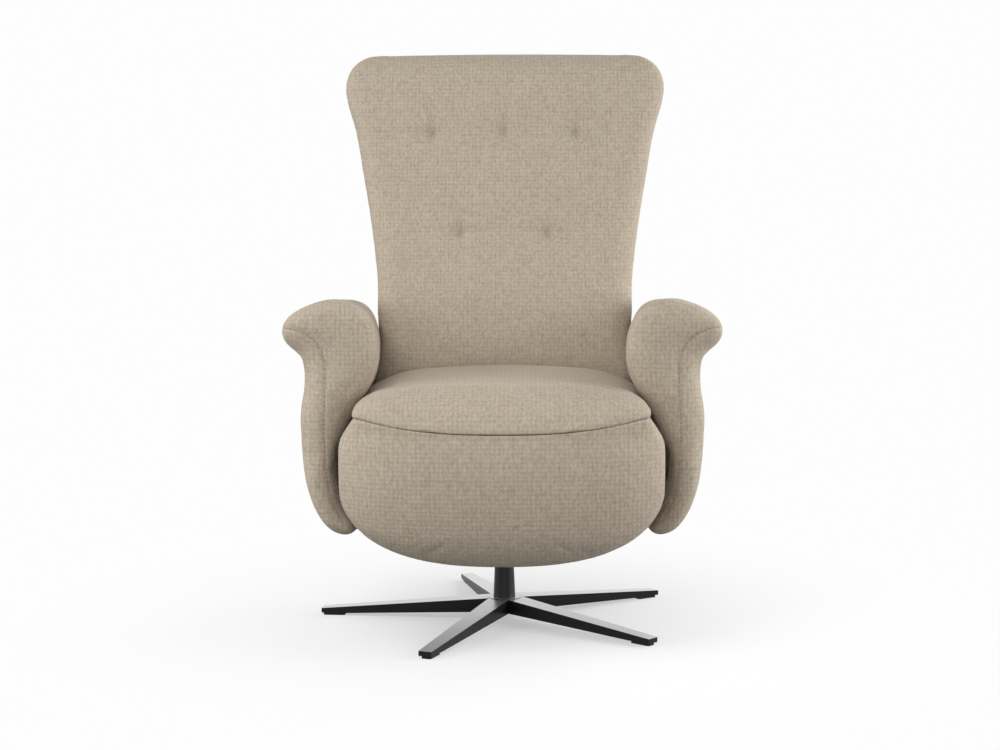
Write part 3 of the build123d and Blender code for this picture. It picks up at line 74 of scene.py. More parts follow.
# Cushions: mesh size, stuffing and the share of foam in each
VOXEL = 0.006
SMOOTH_FACTOR = 0.5
SIM_STEPS = 16
CLOTH_QUALITY = 4
CLOTH_MASS = 0.3
CLOTH_STIFFNESS = 12
CLOTH_BENDING = 0.4
SEAT_FILL = 0.85
PAD_FILL = 0.85
BACK_FILL = 0.8
COVER_FILL = 0.7
ARM_FILL = 0.9
APRON_FILL = 0.5

# Seam between the seat and the footrest pad
SEAM_Z = 0.4025
SEAM_RISE = 0.026
SEAM_RISE_POWER = 2.4
SEAM_HALF_WIDTH = 0.262
SEAM_LAST_SHARE = 1.15
SEAM_FADE = 0.075
SEAM_FADE_Y = (-0.31, -0.20)
SEAM_FREE = (0.006, 0.034)
SEAM_HELD = 0.012
SEAM_PULL = 0.010
SEAM_SKIN = (0.003, 0.018)
SEAM_BOW = (-0.4016, 0.165, 6.32)

# Seat
SEAT_SMOOTHING = 14
SEAT_PRESSURE = 3.0
SEAT_SWELL = 0.010
SEAT_HELD_Z = 0.385
BORDER_REAR_Y = -0.302
END_SMOOTHING = 60
END_SMOOTH_X = (0.200, 0.240)
END_SMOOTH_Z = (SEAM_Z + 0.006, SEAM_Z + 0.020)
END_CALM = 0.4
END_CALM_X = (0.200, 0.245)
END_Y = (-0.27, -0.20)
UPPER_Z = (0.410, 0.445)
AHEAD_Y = (-0.24, -0.12)
REAR_TUCK = 0.022
REAR_TUCK_Y = (0.070, 0.116)
REAR_TUCK_Z = (0.415, 0.455)
SHOULDER_OUT = 0.010
SHOULDER_UP = 0.003
SHOULDER_X = (0.170, 0.250)
SHOULDER_LESS_AHEAD = 0.7
CORNER_UP = 0.006
CORNER_RISE_X = (0.150, 0.220)
CORNER_FALL_X = (0.225, 0.262)

# Footrest pad
PAD_SMOOTHING = 12
PAD_PRESSURE = 3.0
PAD_SWELL = 0.008
PAD_HELD_Y = -0.309
PAD_TAPER = 0.06
PAD_TAPER_Z = (0.372, 0.432)
PAD_REAR_Y = -0.303
PAD_BOW_X = (0.0, 0.100, 0.180, 0.230, 0.250, 0.270, 0.300)
PAD_BOW_DEPTH = (0.098, 0.095, 0.084, 0.067, 0.055, 0.036, 0.020)

# Back and head part
BACK_SMOOTHING = 20
BACK_LAST_SMOOTHING = 3
BACK_PRESSURE = 2.0
BACK_SWELL = 0.0035
BACK_HELD_W = 0.004
FRAME_DEPTH = 0.020
FRAME_W = (0.0, 0.040)
FOLD_V = 0.529
FOLD_REACH = 0.045
LOWER_TUFTS_V = 0.313
TUFT_ROWS = ((FOLD_V, (-0.146, 0.0, 0.146)), (LOWER_TUFTS_V, (-0.0875, 0.0875)))
TUFT_DEPTH = 0.0225
TUFT_REACH = 0.032
TUFT_W = (0.015, 0.045)
PIT_DEPTH = 0.0020
PIT_RADIUS = 0.008
CREASE_DEPTH = 0.0080
CREASE_ABOVE = 0.042
CREASE_BELOW = 0.020
CREASE_BEYOND = 0.050
CREASE_END = 0.06
DENT_REACH = 0.040
DENT_RING = 0.062
DENT_W = 0.03
FOOT_DROP = 0.040
FOOT_V = (0.02, 0.12)
CORNER_DROP = 0.045
CORNER_U = (0.200, 0.225)
CORNER_SPREAD = 0.080
CORNER_SPREAD_V = (0.0, 0.12)
COVER_SMOOTHING = 6
APRON_SMOOTHING = 8

# Arms
ARM_SMOOTHING = 24
ARM_EDGE_SMOOTHING = 110
ARM_UPPER_Z = (0.40, 0.52)
ARM_INNER_X = (0.275, 0.310)
ARM_FRONT_Y = (-0.30, -0.18)
ARM_WAIST_SMOOTHING = 80
ARM_WAIST_FOOT_Z = (0.29, 0.35)
ARM_WAIST_HEAD_Z = (0.49, 0.54)
ARM_OUTER_X = (0.322, 0.338)
ARM_PRESSURE = 2.0
ARM_SWELL = 0.005
ARM_LAST_SMOOTHING = 6
ARM_GROWTH = 0.0025
ARM_REAR_FILL = 0.004
ARM_REAR_FACING = (0.2, 0.7)
ARM_REAR_Y = (-0.15, 0.17)
ARM_REAR_Z = (0.40, 0.46)

# Arm seam, across and up, on the front of the right arm
ARM_SEAM = (
    (0.394, 0.577), (0.378, 0.577), (0.352, 0.571), (0.331, 0.558), (0.316, 0.537), (0.311, 0.510),
    (0.312, 0.470), (0.3155, 0.394), (0.312, 0.315), (0.300, 0.256), (0.282, 0.233),
)
ARM_SEAM_POINTS = 120
ARM_SEAM_ROUNDING = 30
AHEAD_OF_ARM_Y = -0.5
GROOVE_DEPTH = 0.0016
GROOVE_WIDTH = 0.0035
STITCH_PITCH = 0.0080
STITCH_LENGTH = 0.0055
STITCH_RADIUS = 0.0006
STITCH_SINK = 0.0004
STITCH_SIDES = 6
# Each section of a stitch: share of its length, share of its radius, lift in radii
STITCH_SECTIONS = ((0.0, 0.35, -0.6), (0.25, 1.0, 0.25), (0.75, 1.0, 0.25), (1.0, 0.35, -0.6))

# Colours, linear
FABRIC_DARK = (0.325, 0.269, 0.205)
FABRIC_COLOUR = (0.450, 0.383, 0.300)
FABRIC_LIGHT = (0.565, 0.492, 0.394)
WEBBING_DARK = (0.02, 0.02, 0.02)
WEBBING_COLOUR = (0.05, 0.045, 0.04)
WEBBING_LIGHT = (0.10, 0.09, 0.08)
THREAD_COLOUR = (0.30, 0.26, 0.19)
ALUMINIUM = (0.68, 0.68, 0.67)
STEEL = (0.56, 0.56, 0.57)
# Satin black of the column; on the star base's flanks the same black is painted dark reflection
SATIN_BLACK_AND_PAINTED_REFLECTION = (0.012, 0.012, 0.013)
PLASTIC_BLACK = (0.010, 0.010, 0.010)
POWDER_BLACK = (0.020, 0.020, 0.022)
NATURAL_PLASTIC = (0.70, 0.69, 0.64)
BIRCH_DARK = (0.36, 0.23, 0.12)
BIRCH_LIGHT = (0.62, 0.45, 0.27)
FLOOR_DULL = (0.22, 0.22, 0.22)
FLOOR_PALE = (0.55, 0.55, 0.55)
WHITE = (1.0, 1.0, 1.0, 1.0)

# Weave: thread pitch, then how its crossings, slubs and patches share in tone and relief
FABRIC_PITCH = 0.0078
WEBBING_PITCH = 0.0022
WOBBLE_SCALE = 70.0
WOBBLE = 0.0055
FACING_POWER = 6.0
SLUB_SCALE = 210.0
SLUB_STRETCH = (1.0, 1.0, 0.55)
PATCH_SCALE = 42.0
SLUB_SHARE = 0.66
PATCH_SHARE = 0.16
CROSSING_SHARE = 0.15
SLUB_RELIEF = 0.9

# Grain of metal and wood
GRAIN_STOPS = (0.3, 0.7)
METAL_DIM = 0.86
METAL_UNEVEN = 0.12
POLISH_DIM = 0.9
POLISH_UNEVEN = 0.10
POLISH_ROUGHNESS = 0.26
POLISH_GRAIN = 140.0
# Faces of the star base that look up more than this are polished metal; the rest get painted dark
# reflection in black
UPWARD_Z = 0.6
WOOD_GRAIN = (12.0, 160.0, 160.0)

# Floor, background and lights
FLOOR_HALF = 30
FLOOR_LIFT = 0.41
FLOOR_FADE = (0.05, 1.00)
BACKGROUND_WHITE = 0.985
AMBIENT = 0.35
# Each light: name, place, target, size and power
LIGHTS = (
    ("key", (-1.4, -1.9, 2.9), (0.0, 0.0, 0.5), 1.6, 39.0),
    ("front", (-0.2, -2.5, 0.75), (0.0, -0.3, 0.4), 1.4, 15.0),
    ("left", (-2.9, -0.7, 1.1), (0.0, 0.0, 0.5), 1.6, 42.0),
    ("right", (3.0, -0.4, 0.9), (0.0, 0.0, 0.5), 1.6, 66.0),
    ("rear", (2.3, 2.0, 2.0), (0.0, 0.2, 0.7), 1.6, 44.0),
)


def coordinates(piece):
    """Return the piece's vertex coordinates as an array."""
    flat = np.zeros(len(piece.data.vertices) * 3)
    piece.data.vertices.foreach_get("co", flat)
    return flat.reshape(-1, 3)


def set_coordinates(piece, points):
    """Move the piece's vertices."""
    piece.data.vertices.foreach_set("co", np.ascontiguousarray(points, dtype=np.float64).ravel())
    piece.data.update()


def normals(piece):
    """Return the piece's vertex normals as an array."""
    flat = np.zeros(len(piece.data.vertices) * 3, dtype=np.float32)
    piece.data.vertex_normals.foreach_get("vector", flat)
    return flat.reshape(-1, 3).astype(float)


def new_object(name, data):
    """Link a new object with this data."""
    piece = bpy.data.objects.new(name, data)
    SCENE.collection.objects.link(piece)
    return piece


def new_piece(name, points, faces):
    """Return a new object with a mesh of these points and faces."""
    mesh = bpy.data.meshes.new(name)
    mesh.from_pydata(points, [], faces)
    mesh.update()
    return new_object(name, mesh)


def apply_modifiers(piece):
    """Replace the piece's mesh by what its modifiers give."""
    bpy.context.view_layer.update()
    graph = bpy.context.evaluated_depsgraph_get()
    mesh = bpy.data.meshes.new_from_object(piece.evaluated_get(graph))
    piece.modifiers.clear()
    old = piece.data
    piece.data = mesh
    bpy.data.meshes.remove(old)


def soft_copy(name, *nodes):
    """Return a new object with the solids of these nodes in one even mesh."""
    points, faces = [], []
    for node in nodes:
        mesh = NODES[node].data
        start = len(points)
        points += [tuple(v.co) for v in mesh.vertices]
        faces += [tuple(start + i for i in p.vertices) for p in mesh.polygons]
    piece = new_piece(name, points, faces)
    modifier = piece.modifiers.new("remesh", "REMESH")
    modifier.mode = "VOXEL"
    modifier.voxel_size = VOXEL
    apply_modifiers(piece)
    return piece


def smooth(piece, repeat, weight=None):
    """Round the piece's edges off, more where the weight is higher."""
    modifier = piece.modifiers.new("smooth", "SMOOTH")
    modifier.factor = SMOOTH_FACTOR
    modifier.iterations = repeat
    if weight is not None:
        group = piece.vertex_groups.new(name="smooth")
        for index, value in enumerate(weight):
            group.add((index,), float(value), "REPLACE")
        modifier.vertex_group = "smooth"
    apply_modifiers(piece)
    piece.vertex_groups.clear()


def inflate(piece, pressure, cap, pinned=None):
    """Fill the piece like a cushion, with the pinned vertices held and no move beyond the cap."""
    start = coordinates(piece)
    cloth = piece.modifiers.new("cloth", "CLOTH")
    cloth.settings.quality = CLOTH_QUALITY
    cloth.settings.mass = CLOTH_MASS
    cloth.settings.tension_stiffness = CLOTH_STIFFNESS
    cloth.settings.compression_stiffness = CLOTH_STIFFNESS
    cloth.settings.bending_stiffness = CLOTH_BENDING
    cloth.settings.use_pressure = True
    cloth.settings.uniform_pressure_force = pressure
    cloth.settings.effector_weights.gravity = 0
    cloth.collision_settings.use_collision = False
    if pinned is not None:
        group = piece.vertex_groups.new(name="pinned")
        group.add([int(i) for i in np.nonzero(pinned)[0]], 1.0, "REPLACE")
        cloth.settings.vertex_group_mass = "pinned"
    for step in range(1, SIM_STEPS + 1):
        SCENE.frame_set(step)
    graph = bpy.context.evaluated_depsgraph_get()
    move = coordinates(piece.evaluated_get(graph)) - start
    length = np.linalg.norm(move, axis=1)
    limit = cap * np.tanh(length / cap) / np.maximum(length, 1e-9)
    piece.modifiers.clear()
    piece.vertex_groups.clear()
    SCENE.frame_set(1)
    set_coordinates(piece, start + move * limit[:, None])


def shade_smooth(piece):
    """Shade the piece's faces as one surface."""
    for polygon in piece.data.polygons:
        polygon.use_smooth = True


def subdivide(piece):
    """Add one round of subdivision."""
    modifier = piece.modifiers.new("subdivision", "SUBSURF")
    modifier.levels = 1
    modifier.render_levels = 1
    apply_modifiers(piece)
    shade_smooth(piece)


def dress(piece, material):
    """Give the piece this material alone."""
    piece.data.materials.clear()
    piece.data.materials.append(material)


def to_back(points):
    """Return points in the leaning back's frame."""
    local = points - BACK_ORIGIN
    return np.stack((local[:, 0], local @ BACK_UP, local @ BACK_FRONT), axis=1)


def from_back(points):
    """Return points of the leaning back's frame in the chair's frame."""
    across = np.zeros_like(points)
    across[:, 0] = points[:, 0]
    return BACK_ORIGIN + across + points[:, 1:2] * BACK_UP + points[:, 2:3] * BACK_FRONT


def step_up(value, low, high):
    """Return a smooth step from 0 at low to 1 at high."""
    share = np.clip((value - low) / (high - low), 0, 1)
    return share * share * (3 - 2 * share)


def step_down(value, low, high):
    """Return a smooth step from 1 at low to 0 at high."""
    return 1 - step_up(value, low, high)


def link(tree, source, target):
    """Link an output to an input."""
    tree.links.new(source, target)


def math_node(tree, operation, *values):
    """Add a math node and return its output."""
    node = tree.nodes.new("ShaderNodeMath")
    node.operation = operation
    for socket, value in zip(node.inputs, values):
        if isinstance(value, (int, float)):
            socket.default_value = value
        else:
            link(tree, value, socket)
    return node.outputs[0]


def add_up(tree, *values):
    """Add the values up and return their sum."""
    total = values[0]
    for value in values[1:]:
        total = math_node(tree, "ADD", total, value)
    return total


def split(tree, vector):
    """Return the three parts of a vector."""
    node = tree.nodes.new("ShaderNodeSeparateXYZ")
    link(tree, vector, node.inputs[0])
    return node.outputs


def stretched(tree, vector, scale):
    """Return a vector scaled along each axis."""
    node = tree.nodes.new("ShaderNodeMapping")
    node.inputs["Scale"].default_value = scale
    link(tree, vector, node.inputs["Vector"])
    return node.outputs["Vector"]


def noise(tree, vector, scale, detail=2.0, output="Fac"):
    """Add a noise texture and return its value or its colour."""
    node = tree.nodes.new("ShaderNodeTexNoise")
    node.inputs["Scale"].default_value = scale
    node.inputs["Detail"].default_value = detail
    link(tree, vector, node.inputs["Vector"])
    return node.outputs[output]


def ramp(tree, value, stops):
    """Add a colour ramp and return its colour."""
    node = tree.nodes.new("ShaderNodeValToRGB")
    elements = node.color_ramp.elements
    while len(elements) < len(stops):
        elements.new(0.5)
    for element, (place, colour) in zip(elements, stops):
        element.position = place
        element.color = (*colour, 1.0)
    link(tree, value, node.inputs["Fac"])
    return node.outputs["Color"]


def grain_colour(tree, grain, dark, light):
    """Return the colour of a grain between a dark and a light tone."""
    return ramp(tree, grain, tuple(zip(GRAIN_STOPS, (dark, light))))


def dimmed(colour, share):
    """Return a share of a colour."""
    return tuple(share * c for c in colour)


def bump(tree, height, strength, distance, shader):
    """Lead a height into the shader's normal."""
    node = tree.nodes.new("ShaderNodeBump")
    node.inputs["Strength"].default_value = strength
    node.inputs["Distance"].default_value = distance
    link(tree, height, node.inputs["Height"])
    link(tree, node.outputs["Normal"], shader.inputs["Normal"])


def seen_rays(tree):
    """Return 1 for the rays that show a surface to the camera, also in a mirror or through glass."""
    rays = tree.nodes.new("ShaderNodeLightPath")
    seen = math_node(tree, "MAXIMUM", rays.outputs["Is Camera Ray"], rays.outputs["Is Glossy Ray"])
    return math_node(tree, "MAXIMUM", seen, rays.outputs["Is Transmission Ray"])


def new_material(name):
    """Return a new material, its tree, its shader and its texture coordinates."""
    material = bpy.data.materials.new(name)
    material.use_nodes = True
    tree = material.node_tree
    place = tree.nodes.new("ShaderNodeTexCoord").outputs
    return material, tree, tree.nodes["Principled BSDF"], place


def woven_fabric(name, dark, middle, light, pitch):
    """Return a woven fabric: a grid of plump crossings in the plane that each face looks out of."""
    material, tree, shader, place = new_material(name)
    shift = tree.nodes.new("ShaderNodeVectorMath")
    shift.operation = "MULTIPLY_ADD"
    link(tree, noise(tree, place["Object"], WOBBLE_SCALE, output="Color"), shift.inputs[0])
    shift.inputs[1].default_value = (WOBBLE, WOBBLE, WOBBLE)
    link(tree, place["Object"], shift.inputs[2])
    ridges, weights = [], []
    for axis in split(tree, shift.outputs[0]):
        wave = math_node(tree, "SINE", math_node(tree, "MULTIPLY", axis, math.pi / pitch))
        ridges.append(math_node(tree, "ABSOLUTE", wave))
    for axis in split(tree, place["Normal"]):
        weights.append(math_node(tree, "POWER", math_node(tree, "ABSOLUTE", axis), FACING_POWER))
    total = add_up(tree, *weights)
    layers = []
    for weight, (first, second) in zip(weights, ((1, 2), (0, 2), (0, 1))):
        crossings = math_node(tree, "MULTIPLY", ridges[first], ridges[second])
        share = math_node(tree, "DIVIDE", weight, total)
        layers.append(math_node(tree, "MULTIPLY", crossings, share))
    height = add_up(tree, *layers)
    slub = noise(tree, stretched(tree, place["Object"], SLUB_STRETCH), SLUB_SCALE)
    patch = noise(tree, place["Object"], PATCH_SCALE, 3.0)
    shares = ((slub, SLUB_SHARE), (patch, PATCH_SHARE), (height, CROSSING_SHARE))
    tone = add_up(tree, *[math_node(tree, "MULTIPLY", *share) for share in shares])
    colour = ramp(tree, tone, ((0.20, dark), (0.50, middle), (0.80, light)))
    link(tree, colour, shader.inputs["Base Color"])
    relief = math_node(tree, "ADD", height, math_node(tree, "MULTIPLY", slub, SLUB_RELIEF))
    bump(tree, relief, 0.35, 0.0010, shader)
    shader.inputs["Roughness"].default_value = 0.92
    shader.inputs["Specular IOR Level"].default_value = 0.18
    shader.inputs["Sheen Weight"].default_value = 0.12
    shader.inputs["Sheen Roughness"].default_value = 0.5
    return material


def metal(name, colour, roughness, metallic=1.0, grain=180.0, relief=0.00008, gloss=0.5):
    """Return a metal or painted finish with a fine, uneven grain."""
    material, tree, shader, place = new_material(name)
    grainy = noise(tree, place["Object"], grain, 4.0)
    tone = grain_colour(tree, grainy, dimmed(colour, METAL_DIM), colour)
    link(tree, tone, shader.inputs["Base Color"])
    rough = math_node(tree, "MULTIPLY_ADD", grainy, METAL_UNEVEN, roughness - METAL_UNEVEN / 2)
    link(tree, rough, shader.inputs["Roughness"])
    bump(tree, grainy, 0.25, relief, shader)
    shader.inputs["Metallic"].default_value = metallic
    shader.inputs["Specular IOR Level"].default_value = gloss
    return material


def polished_top_painted_flanks(name, top_colour, painted_reflection_colour):
    """Return the star base's material: polished metal where it looks up, and on its flanks a flat black
    that is painted dark reflection, in place of the dark surroundings a chrome base mirrors.
    """
    material, tree, shader, place = new_material(name)
    upward = math_node(tree, "GREATER_THAN", split(tree, place["Normal"])["Z"], UPWARD_Z)
    grainy = noise(tree, place["Object"], POLISH_GRAIN, 4.0)
    mix = tree.nodes.new("ShaderNodeMix")
    mix.data_type = "RGBA"
    # Flanks: painted dark reflection, a flat black with little gloss where chrome would mirror dark
    # surroundings
    mix.inputs["A"].default_value = (*painted_reflection_colour, 1.0)
    link(tree, upward, mix.inputs["Factor"])
    link(tree, grain_colour(tree, grainy, dimmed(top_colour, POLISH_DIM), top_colour), mix.inputs["B"])
    link(tree, mix.outputs["Result"], shader.inputs["Base Color"])
    link(tree, math_node(tree, "MULTIPLY", upward, 0.9), shader.inputs["Metallic"])
    rough = math_node(tree, "MULTIPLY_ADD", grainy, POLISH_UNEVEN, POLISH_ROUGHNESS)
    link(tree, rough, shader.inputs["Roughness"])
    shader.inputs["Specular IOR Level"].default_value = 0.12
    return material


def plywood(name):
    """Return raw birch plywood with long grain."""
    material, tree, shader, place = new_material(name)
    grain = noise(tree, stretched(tree, place["Object"], WOOD_GRAIN), 1.0, 5.0)
    link(tree, grain_colour(tree, grain, BIRCH_DARK, BIRCH_LIGHT), shader.inputs["Base Color"])
    bump(tree, grain, 0.3, 0.0004, shader)
    shader.inputs["Roughness"].default_value = 0.7
    return material


def pale_floor(name):
    """Return a pale floor: near white to the camera and whiter with distance, duller to other rays."""
    material, tree, shader, place = new_material(name)
    reach = tree.nodes.new("ShaderNodeVectorMath")
    reach.operation = "LENGTH"
    link(tree, place["Object"], reach.inputs[0])
    far = tree.nodes.new("ShaderNodeMapRange")
    far.interpolation_type = "SMOOTHSTEP"
    far.inputs["From Min"].default_value, far.inputs["From Max"].default_value = FLOOR_FADE
    link(tree, reach.outputs["Value"], far.inputs["Value"])
    seen = seen_rays(tree)
    tint = ramp(tree, seen, ((0.0, FLOOR_DULL), (1.0, FLOOR_PALE)))
    link(tree, tint, shader.inputs["Base Color"])
    shader.inputs["Roughness"].default_value = 0.9
    shader.inputs["Specular IOR Level"].default_value = 0.0
    shader.inputs["Emission Color"].default_value = WHITE
    link(tree, math_node(tree, "MULTIPLY", seen, FLOOR_LIFT), shader.inputs["Emission Strength"])
    white = tree.nodes.new("ShaderNodeEmission")
    link(tree, math_node(tree, "MULTIPLY", seen, BACKGROUND_WHITE), white.inputs["Strength"])
    mix = tree.nodes.new("ShaderNodeMixShader")
    link(tree, math_node(tree, "MULTIPLY", far.outputs["Result"], seen), mix.inputs["Fac"])
    link(tree, shader.outputs["BSDF"], mix.inputs[1])
    link(tree, white.outputs["Emission"], mix.inputs[2])
    link(tree, mix.outputs["Shader"], tree.nodes["Material Output"].inputs["Surface"])
    return material


FABRIC = woven_fabric("cover_fabric", FABRIC_DARK, FABRIC_COLOUR, FABRIC_LIGHT, FABRIC_PITCH)
WEBBING = woven_fabric("elastic_webbing", WEBBING_DARK, WEBBING_COLOUR, WEBBING_LIGHT, WEBBING_PITCH)
THREAD = metal("sewing_thread", THREAD_COLOUR, 0.8, 0.0, 900.0)
FINISHES = {
    # Star base: polished metal on top, painted dark reflection in black on the flanks
    "polished_aluminium": polished_top_painted_flanks("polished_with_painted_dark_reflection", ALUMINIUM, SATIN_BLACK_AND_PAINTED_REFLECTION),
    "black_column": metal("satin_black", SATIN_BLACK_AND_PAINTED_REFLECTION, 0.38, 0.1, gloss=0.22),
    "black_plastic": metal("black_plastic", PLASTIC_BLACK, 0.55, 0.0, 420.0, 0.0002, 0.2),
    "bush_plastic": metal("natural_plastic", NATURAL_PLASTIC, 0.5, 0.0, 300.0),
    "plain_steel": metal("zinc_plated_steel", STEEL, 0.35),
    "black_steel": metal("black_powder_coat", POWDER_BLACK, 0.55, 0.1, 900.0, 0.0003),
    "plywood": plywood("birch_plywood"),
    "elastic_strap": WEBBING,
    "cover_fabric": FABRIC,
}
for entry in frame["record"]["subparts"]:
    dress(NODES[entry["node"]], FINISHES[entry["material_slot"]])


def finish_soft(piece, fill, *nodes):
    """Dress a cushion in the cover fabric and let it stand for its solids."""
    dress(piece, FABRIC)
    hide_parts(*nodes)


def seam_rise(points):
    """Return how far the seam between seat and footrest rises towards its ends."""
    share = np.clip(np.abs(points[:, 0]) / SEAM_HALF_WIDTH, 0, SEAM_LAST_SHARE)
    return SEAM_RISE * share ** SEAM_RISE_POWER


def raise_seam(points):
    """Return the points with the seam's ends lifted."""
    near = np.exp(-((points[:, 2] - SEAM_Z) / SEAM_FADE) ** 2)
    raised = points.copy()
    raised[:, 2] += seam_rise(points) * near * step_down(points[:, 1], *SEAM_FADE_Y)
    return raised


def sew(points):
    """Return the points with the front drawn in to the seam line."""
    height = SEAM_Z + seam_rise(points)
    depth = sum(factor * points[:, 0] ** (2 * power) for power, factor in enumerate(SEAM_BOW))
    skin = step_down(points[:, 1] - depth, *SEAM_SKIN)
    pull = skin * np.exp(-((points[:, 2] - height) / SEAM_PULL) ** 2)
    sewn = points.copy()
    sewn[:, 1] += pull * (depth - points[:, 1])
    return sewn


def from_seam(points):
    """Return how far points lie from the seam plane, as a weight from 0 to 1."""
    return step_up(np.abs(points[:, 2] - SEAM_Z), *SEAM_FREE)


def seat_ends(points, range_x):
    """Return a weight that picks the two ends of the seat's front."""
    return step_up(np.abs(points[:, 0]), *range_x) * step_down(points[:, 1], *END_Y)


def tuft_press(local):
    """Return how deep the rows of tufts and the crease along each press the back's front."""
    press = np.zeros(len(local))
    for v, places in TUFT_ROWS:
        rise = local[:, 1] - v
        fade = np.exp(-np.where(rise > 0, rise / CREASE_ABOVE, -rise / CREASE_BELOW))
        end = max(places) + CREASE_BEYOND
        depth = CREASE_DEPTH * step_down(np.abs(local[:, 0]), end - CREASE_END, end)
        pit = np.zeros(len(local))
        for u in places:
            du = np.abs(local[:, 0] - u)
            depth = np.hypot(depth, TUFT_DEPTH * np.exp(-du / TUFT_REACH))
            pit += PIT_DEPTH * np.exp(-(np.hypot(du, rise) / PIT_RADIUS) ** 2)
        press = np.maximum(press, depth * fade) + pit
    return press * step_up(local[:, 2], *TUFT_W)


def fill_dents(local):
    """Return the back's points with the solids' round tuft dents filled up from the surface round them."""
    local = local.copy()
    front = local[:, 2] > DENT_W
    for u, v in [(u, v) for v, places in TUFT_ROWS for u in places]:
        du, dv = local[:, 0] - u, local[:, 1] - v
        reach = np.hypot(du, dv)
        terms = np.stack((np.ones_like(du), du, dv, du * du, dv * dv), axis=1)
        ring = front & (reach > DENT_REACH) & (reach < DENT_RING)
        fit = np.linalg.lstsq(terms[ring], local[ring, 2], rcond=None)[0]
        inside = front & (reach <= DENT_REACH)
        local[inside, 2] = terms[inside] @ fit
    return local


def run_lengths(path):
    """Return the length run up to each point of a path."""
    return np.r_[0, np.cumsum(np.linalg.norm(np.diff(path, axis=0), axis=1))]


def along(path, lengths, places):
    """Return the points at these places along a path."""
    return np.stack([np.interp(places, lengths, column) for column in path.T], axis=-1)


def even_path(corners):
    """Return a smooth path through the corners."""
    lengths = run_lengths(corners)
    path = along(corners, lengths, np.linspace(0, lengths[-1], ARM_SEAM_POINTS))
    for _ in range(ARM_SEAM_ROUNDING):
        path[1:-1] = 0.5 * path[1:-1] + 0.25 * (path[:-2] + path[2:])
    return path


def on_surface(piece, path, direction):
    """Drop a path onto the piece along the direction, and return its points and normals."""
    tree = BVHTree.FromPolygons(
        [v.co for v in piece.data.vertices], [tuple(p.vertices) for p in piece.data.polygons]
    )
    hits = [tree.ray_cast(Vector(point), Vector(direction)) for point in path]
    found = [hit for hit in hits if hit[0] is not None]
    return np.array([hit[0] for hit in found]), np.array([hit[1] for hit in found])


def seam_groove(piece, path):
    """Press a seam along the path into the piece."""
    points = coordinates(piece)
    gap = np.full(len(points), 1.0)
    for first, second in zip(path, path[1:]):
        run = second - first
        share = np.clip(((points - first) @ run) / (run @ run), 0, 1)
        gap = np.minimum(gap, np.linalg.norm(points - first - share[:, None] * run, axis=1))
    press = GROOVE_DEPTH * np.exp(-(gap / GROOVE_WIDTH) ** 2)
    set_coordinates(piece, points - press[:, None] * normals(piece))


def stitches(name, path, ups):
    """Return a row of stitches along the path."""
    lengths = run_lengths(path)
    points, faces = [], []
    sides = range(STITCH_SIDES)
    ring = [(math.cos(a), math.sin(a)) for a in np.arange(STITCH_SIDES) * math.tau / STITCH_SIDES]
    for place in np.arange(STITCH_PITCH, lengths[-1] - STITCH_PITCH, STITCH_PITCH):
        first = along(path, lengths, place - STITCH_LENGTH / 2)
        span = along(path, lengths, place + STITCH_LENGTH / 2) - first
        up = along(ups, lengths, place)
        up /= np.linalg.norm(up)
        side = np.cross(span / np.linalg.norm(span), up)
        start = len(points)
        for share, size, lift in STITCH_SECTIONS:
            middle = first + share * span + lift * STITCH_RADIUS * up
            points += [tuple(middle + STITCH_RADIUS * size * (c * side + s * up)) for c, s in ring]
        last = len(points) - STITCH_SIDES
        for row in range(start, last, STITCH_SIDES):
            for i in sides:
                a, b = row + i, row + (i + 1) % STITCH_SIDES
                faces.append((a, b, b + STITCH_SIDES, a + STITCH_SIDES))
        faces.append(tuple(start + i for i in reversed(sides)))
        faces.append(tuple(last + i for i in sides))
    piece = new_piece(name, points, faces)
    shade_smooth(piece)
    dress(piece, THREAD)
    return piece


# Seat cushion with its front border
seat = soft_copy("seat_upholstery", "seat_cushion", "front_border")
points = coordinates(seat)
smooth(seat, SEAT_SMOOTHING, np.where(points[:, 1] < BORDER_REAR_Y, from_seam(points), 1.0))
points = coordinates(seat)
smooth(seat, END_SMOOTHING, seat_ends(points, END_SMOOTH_X) * step_up(points[:, 2], *END_SMOOTH_Z))
points = coordinates(seat)
border = (points[:, 1] < BORDER_REAR_Y) & (points[:, 2] < SEAM_Z + SEAM_HELD)
inflate(seat, SEAT_PRESSURE, SEAT_SWELL, (points[:, 2] < SEAT_HELD_Z) | border)
calm = 1 - END_CALM * seat_ends(points, END_CALM_X)
points = raise_seam(points + (coordinates(seat) - points) * calm[:, None])
across = np.abs(points[:, 0])
upper = step_up(points[:, 2], *UPPER_Z)
ahead = step_down(points[:, 1], *AHEAD_Y)
shoulder = step_up(across, *SHOULDER_X)
corner = step_up(across, *CORNER_RISE_X) - step_up(across, *CORNER_FALL_X)
points[:, 1] += REAR_TUCK * step_up(points[:, 1], *REAR_TUCK_Y) * step_up(points[:, 2], *REAR_TUCK_Z)
points[:, 2] += SHOULDER_UP * shoulder * upper * (1 - ahead)
points[:, 2] += CORNER_UP * corner * upper * ahead
points[:, 0] += np.sign(points[:, 0]) * SHOULDER_OUT * shoulder * upper * (1 - SHOULDER_LESS_AHEAD * ahead)
set_coordinates(seat, sew(points))
subdivide(seat)
finish_soft(seat, SEAT_FILL, "seat_cushion", "front_border")
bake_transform(seat)

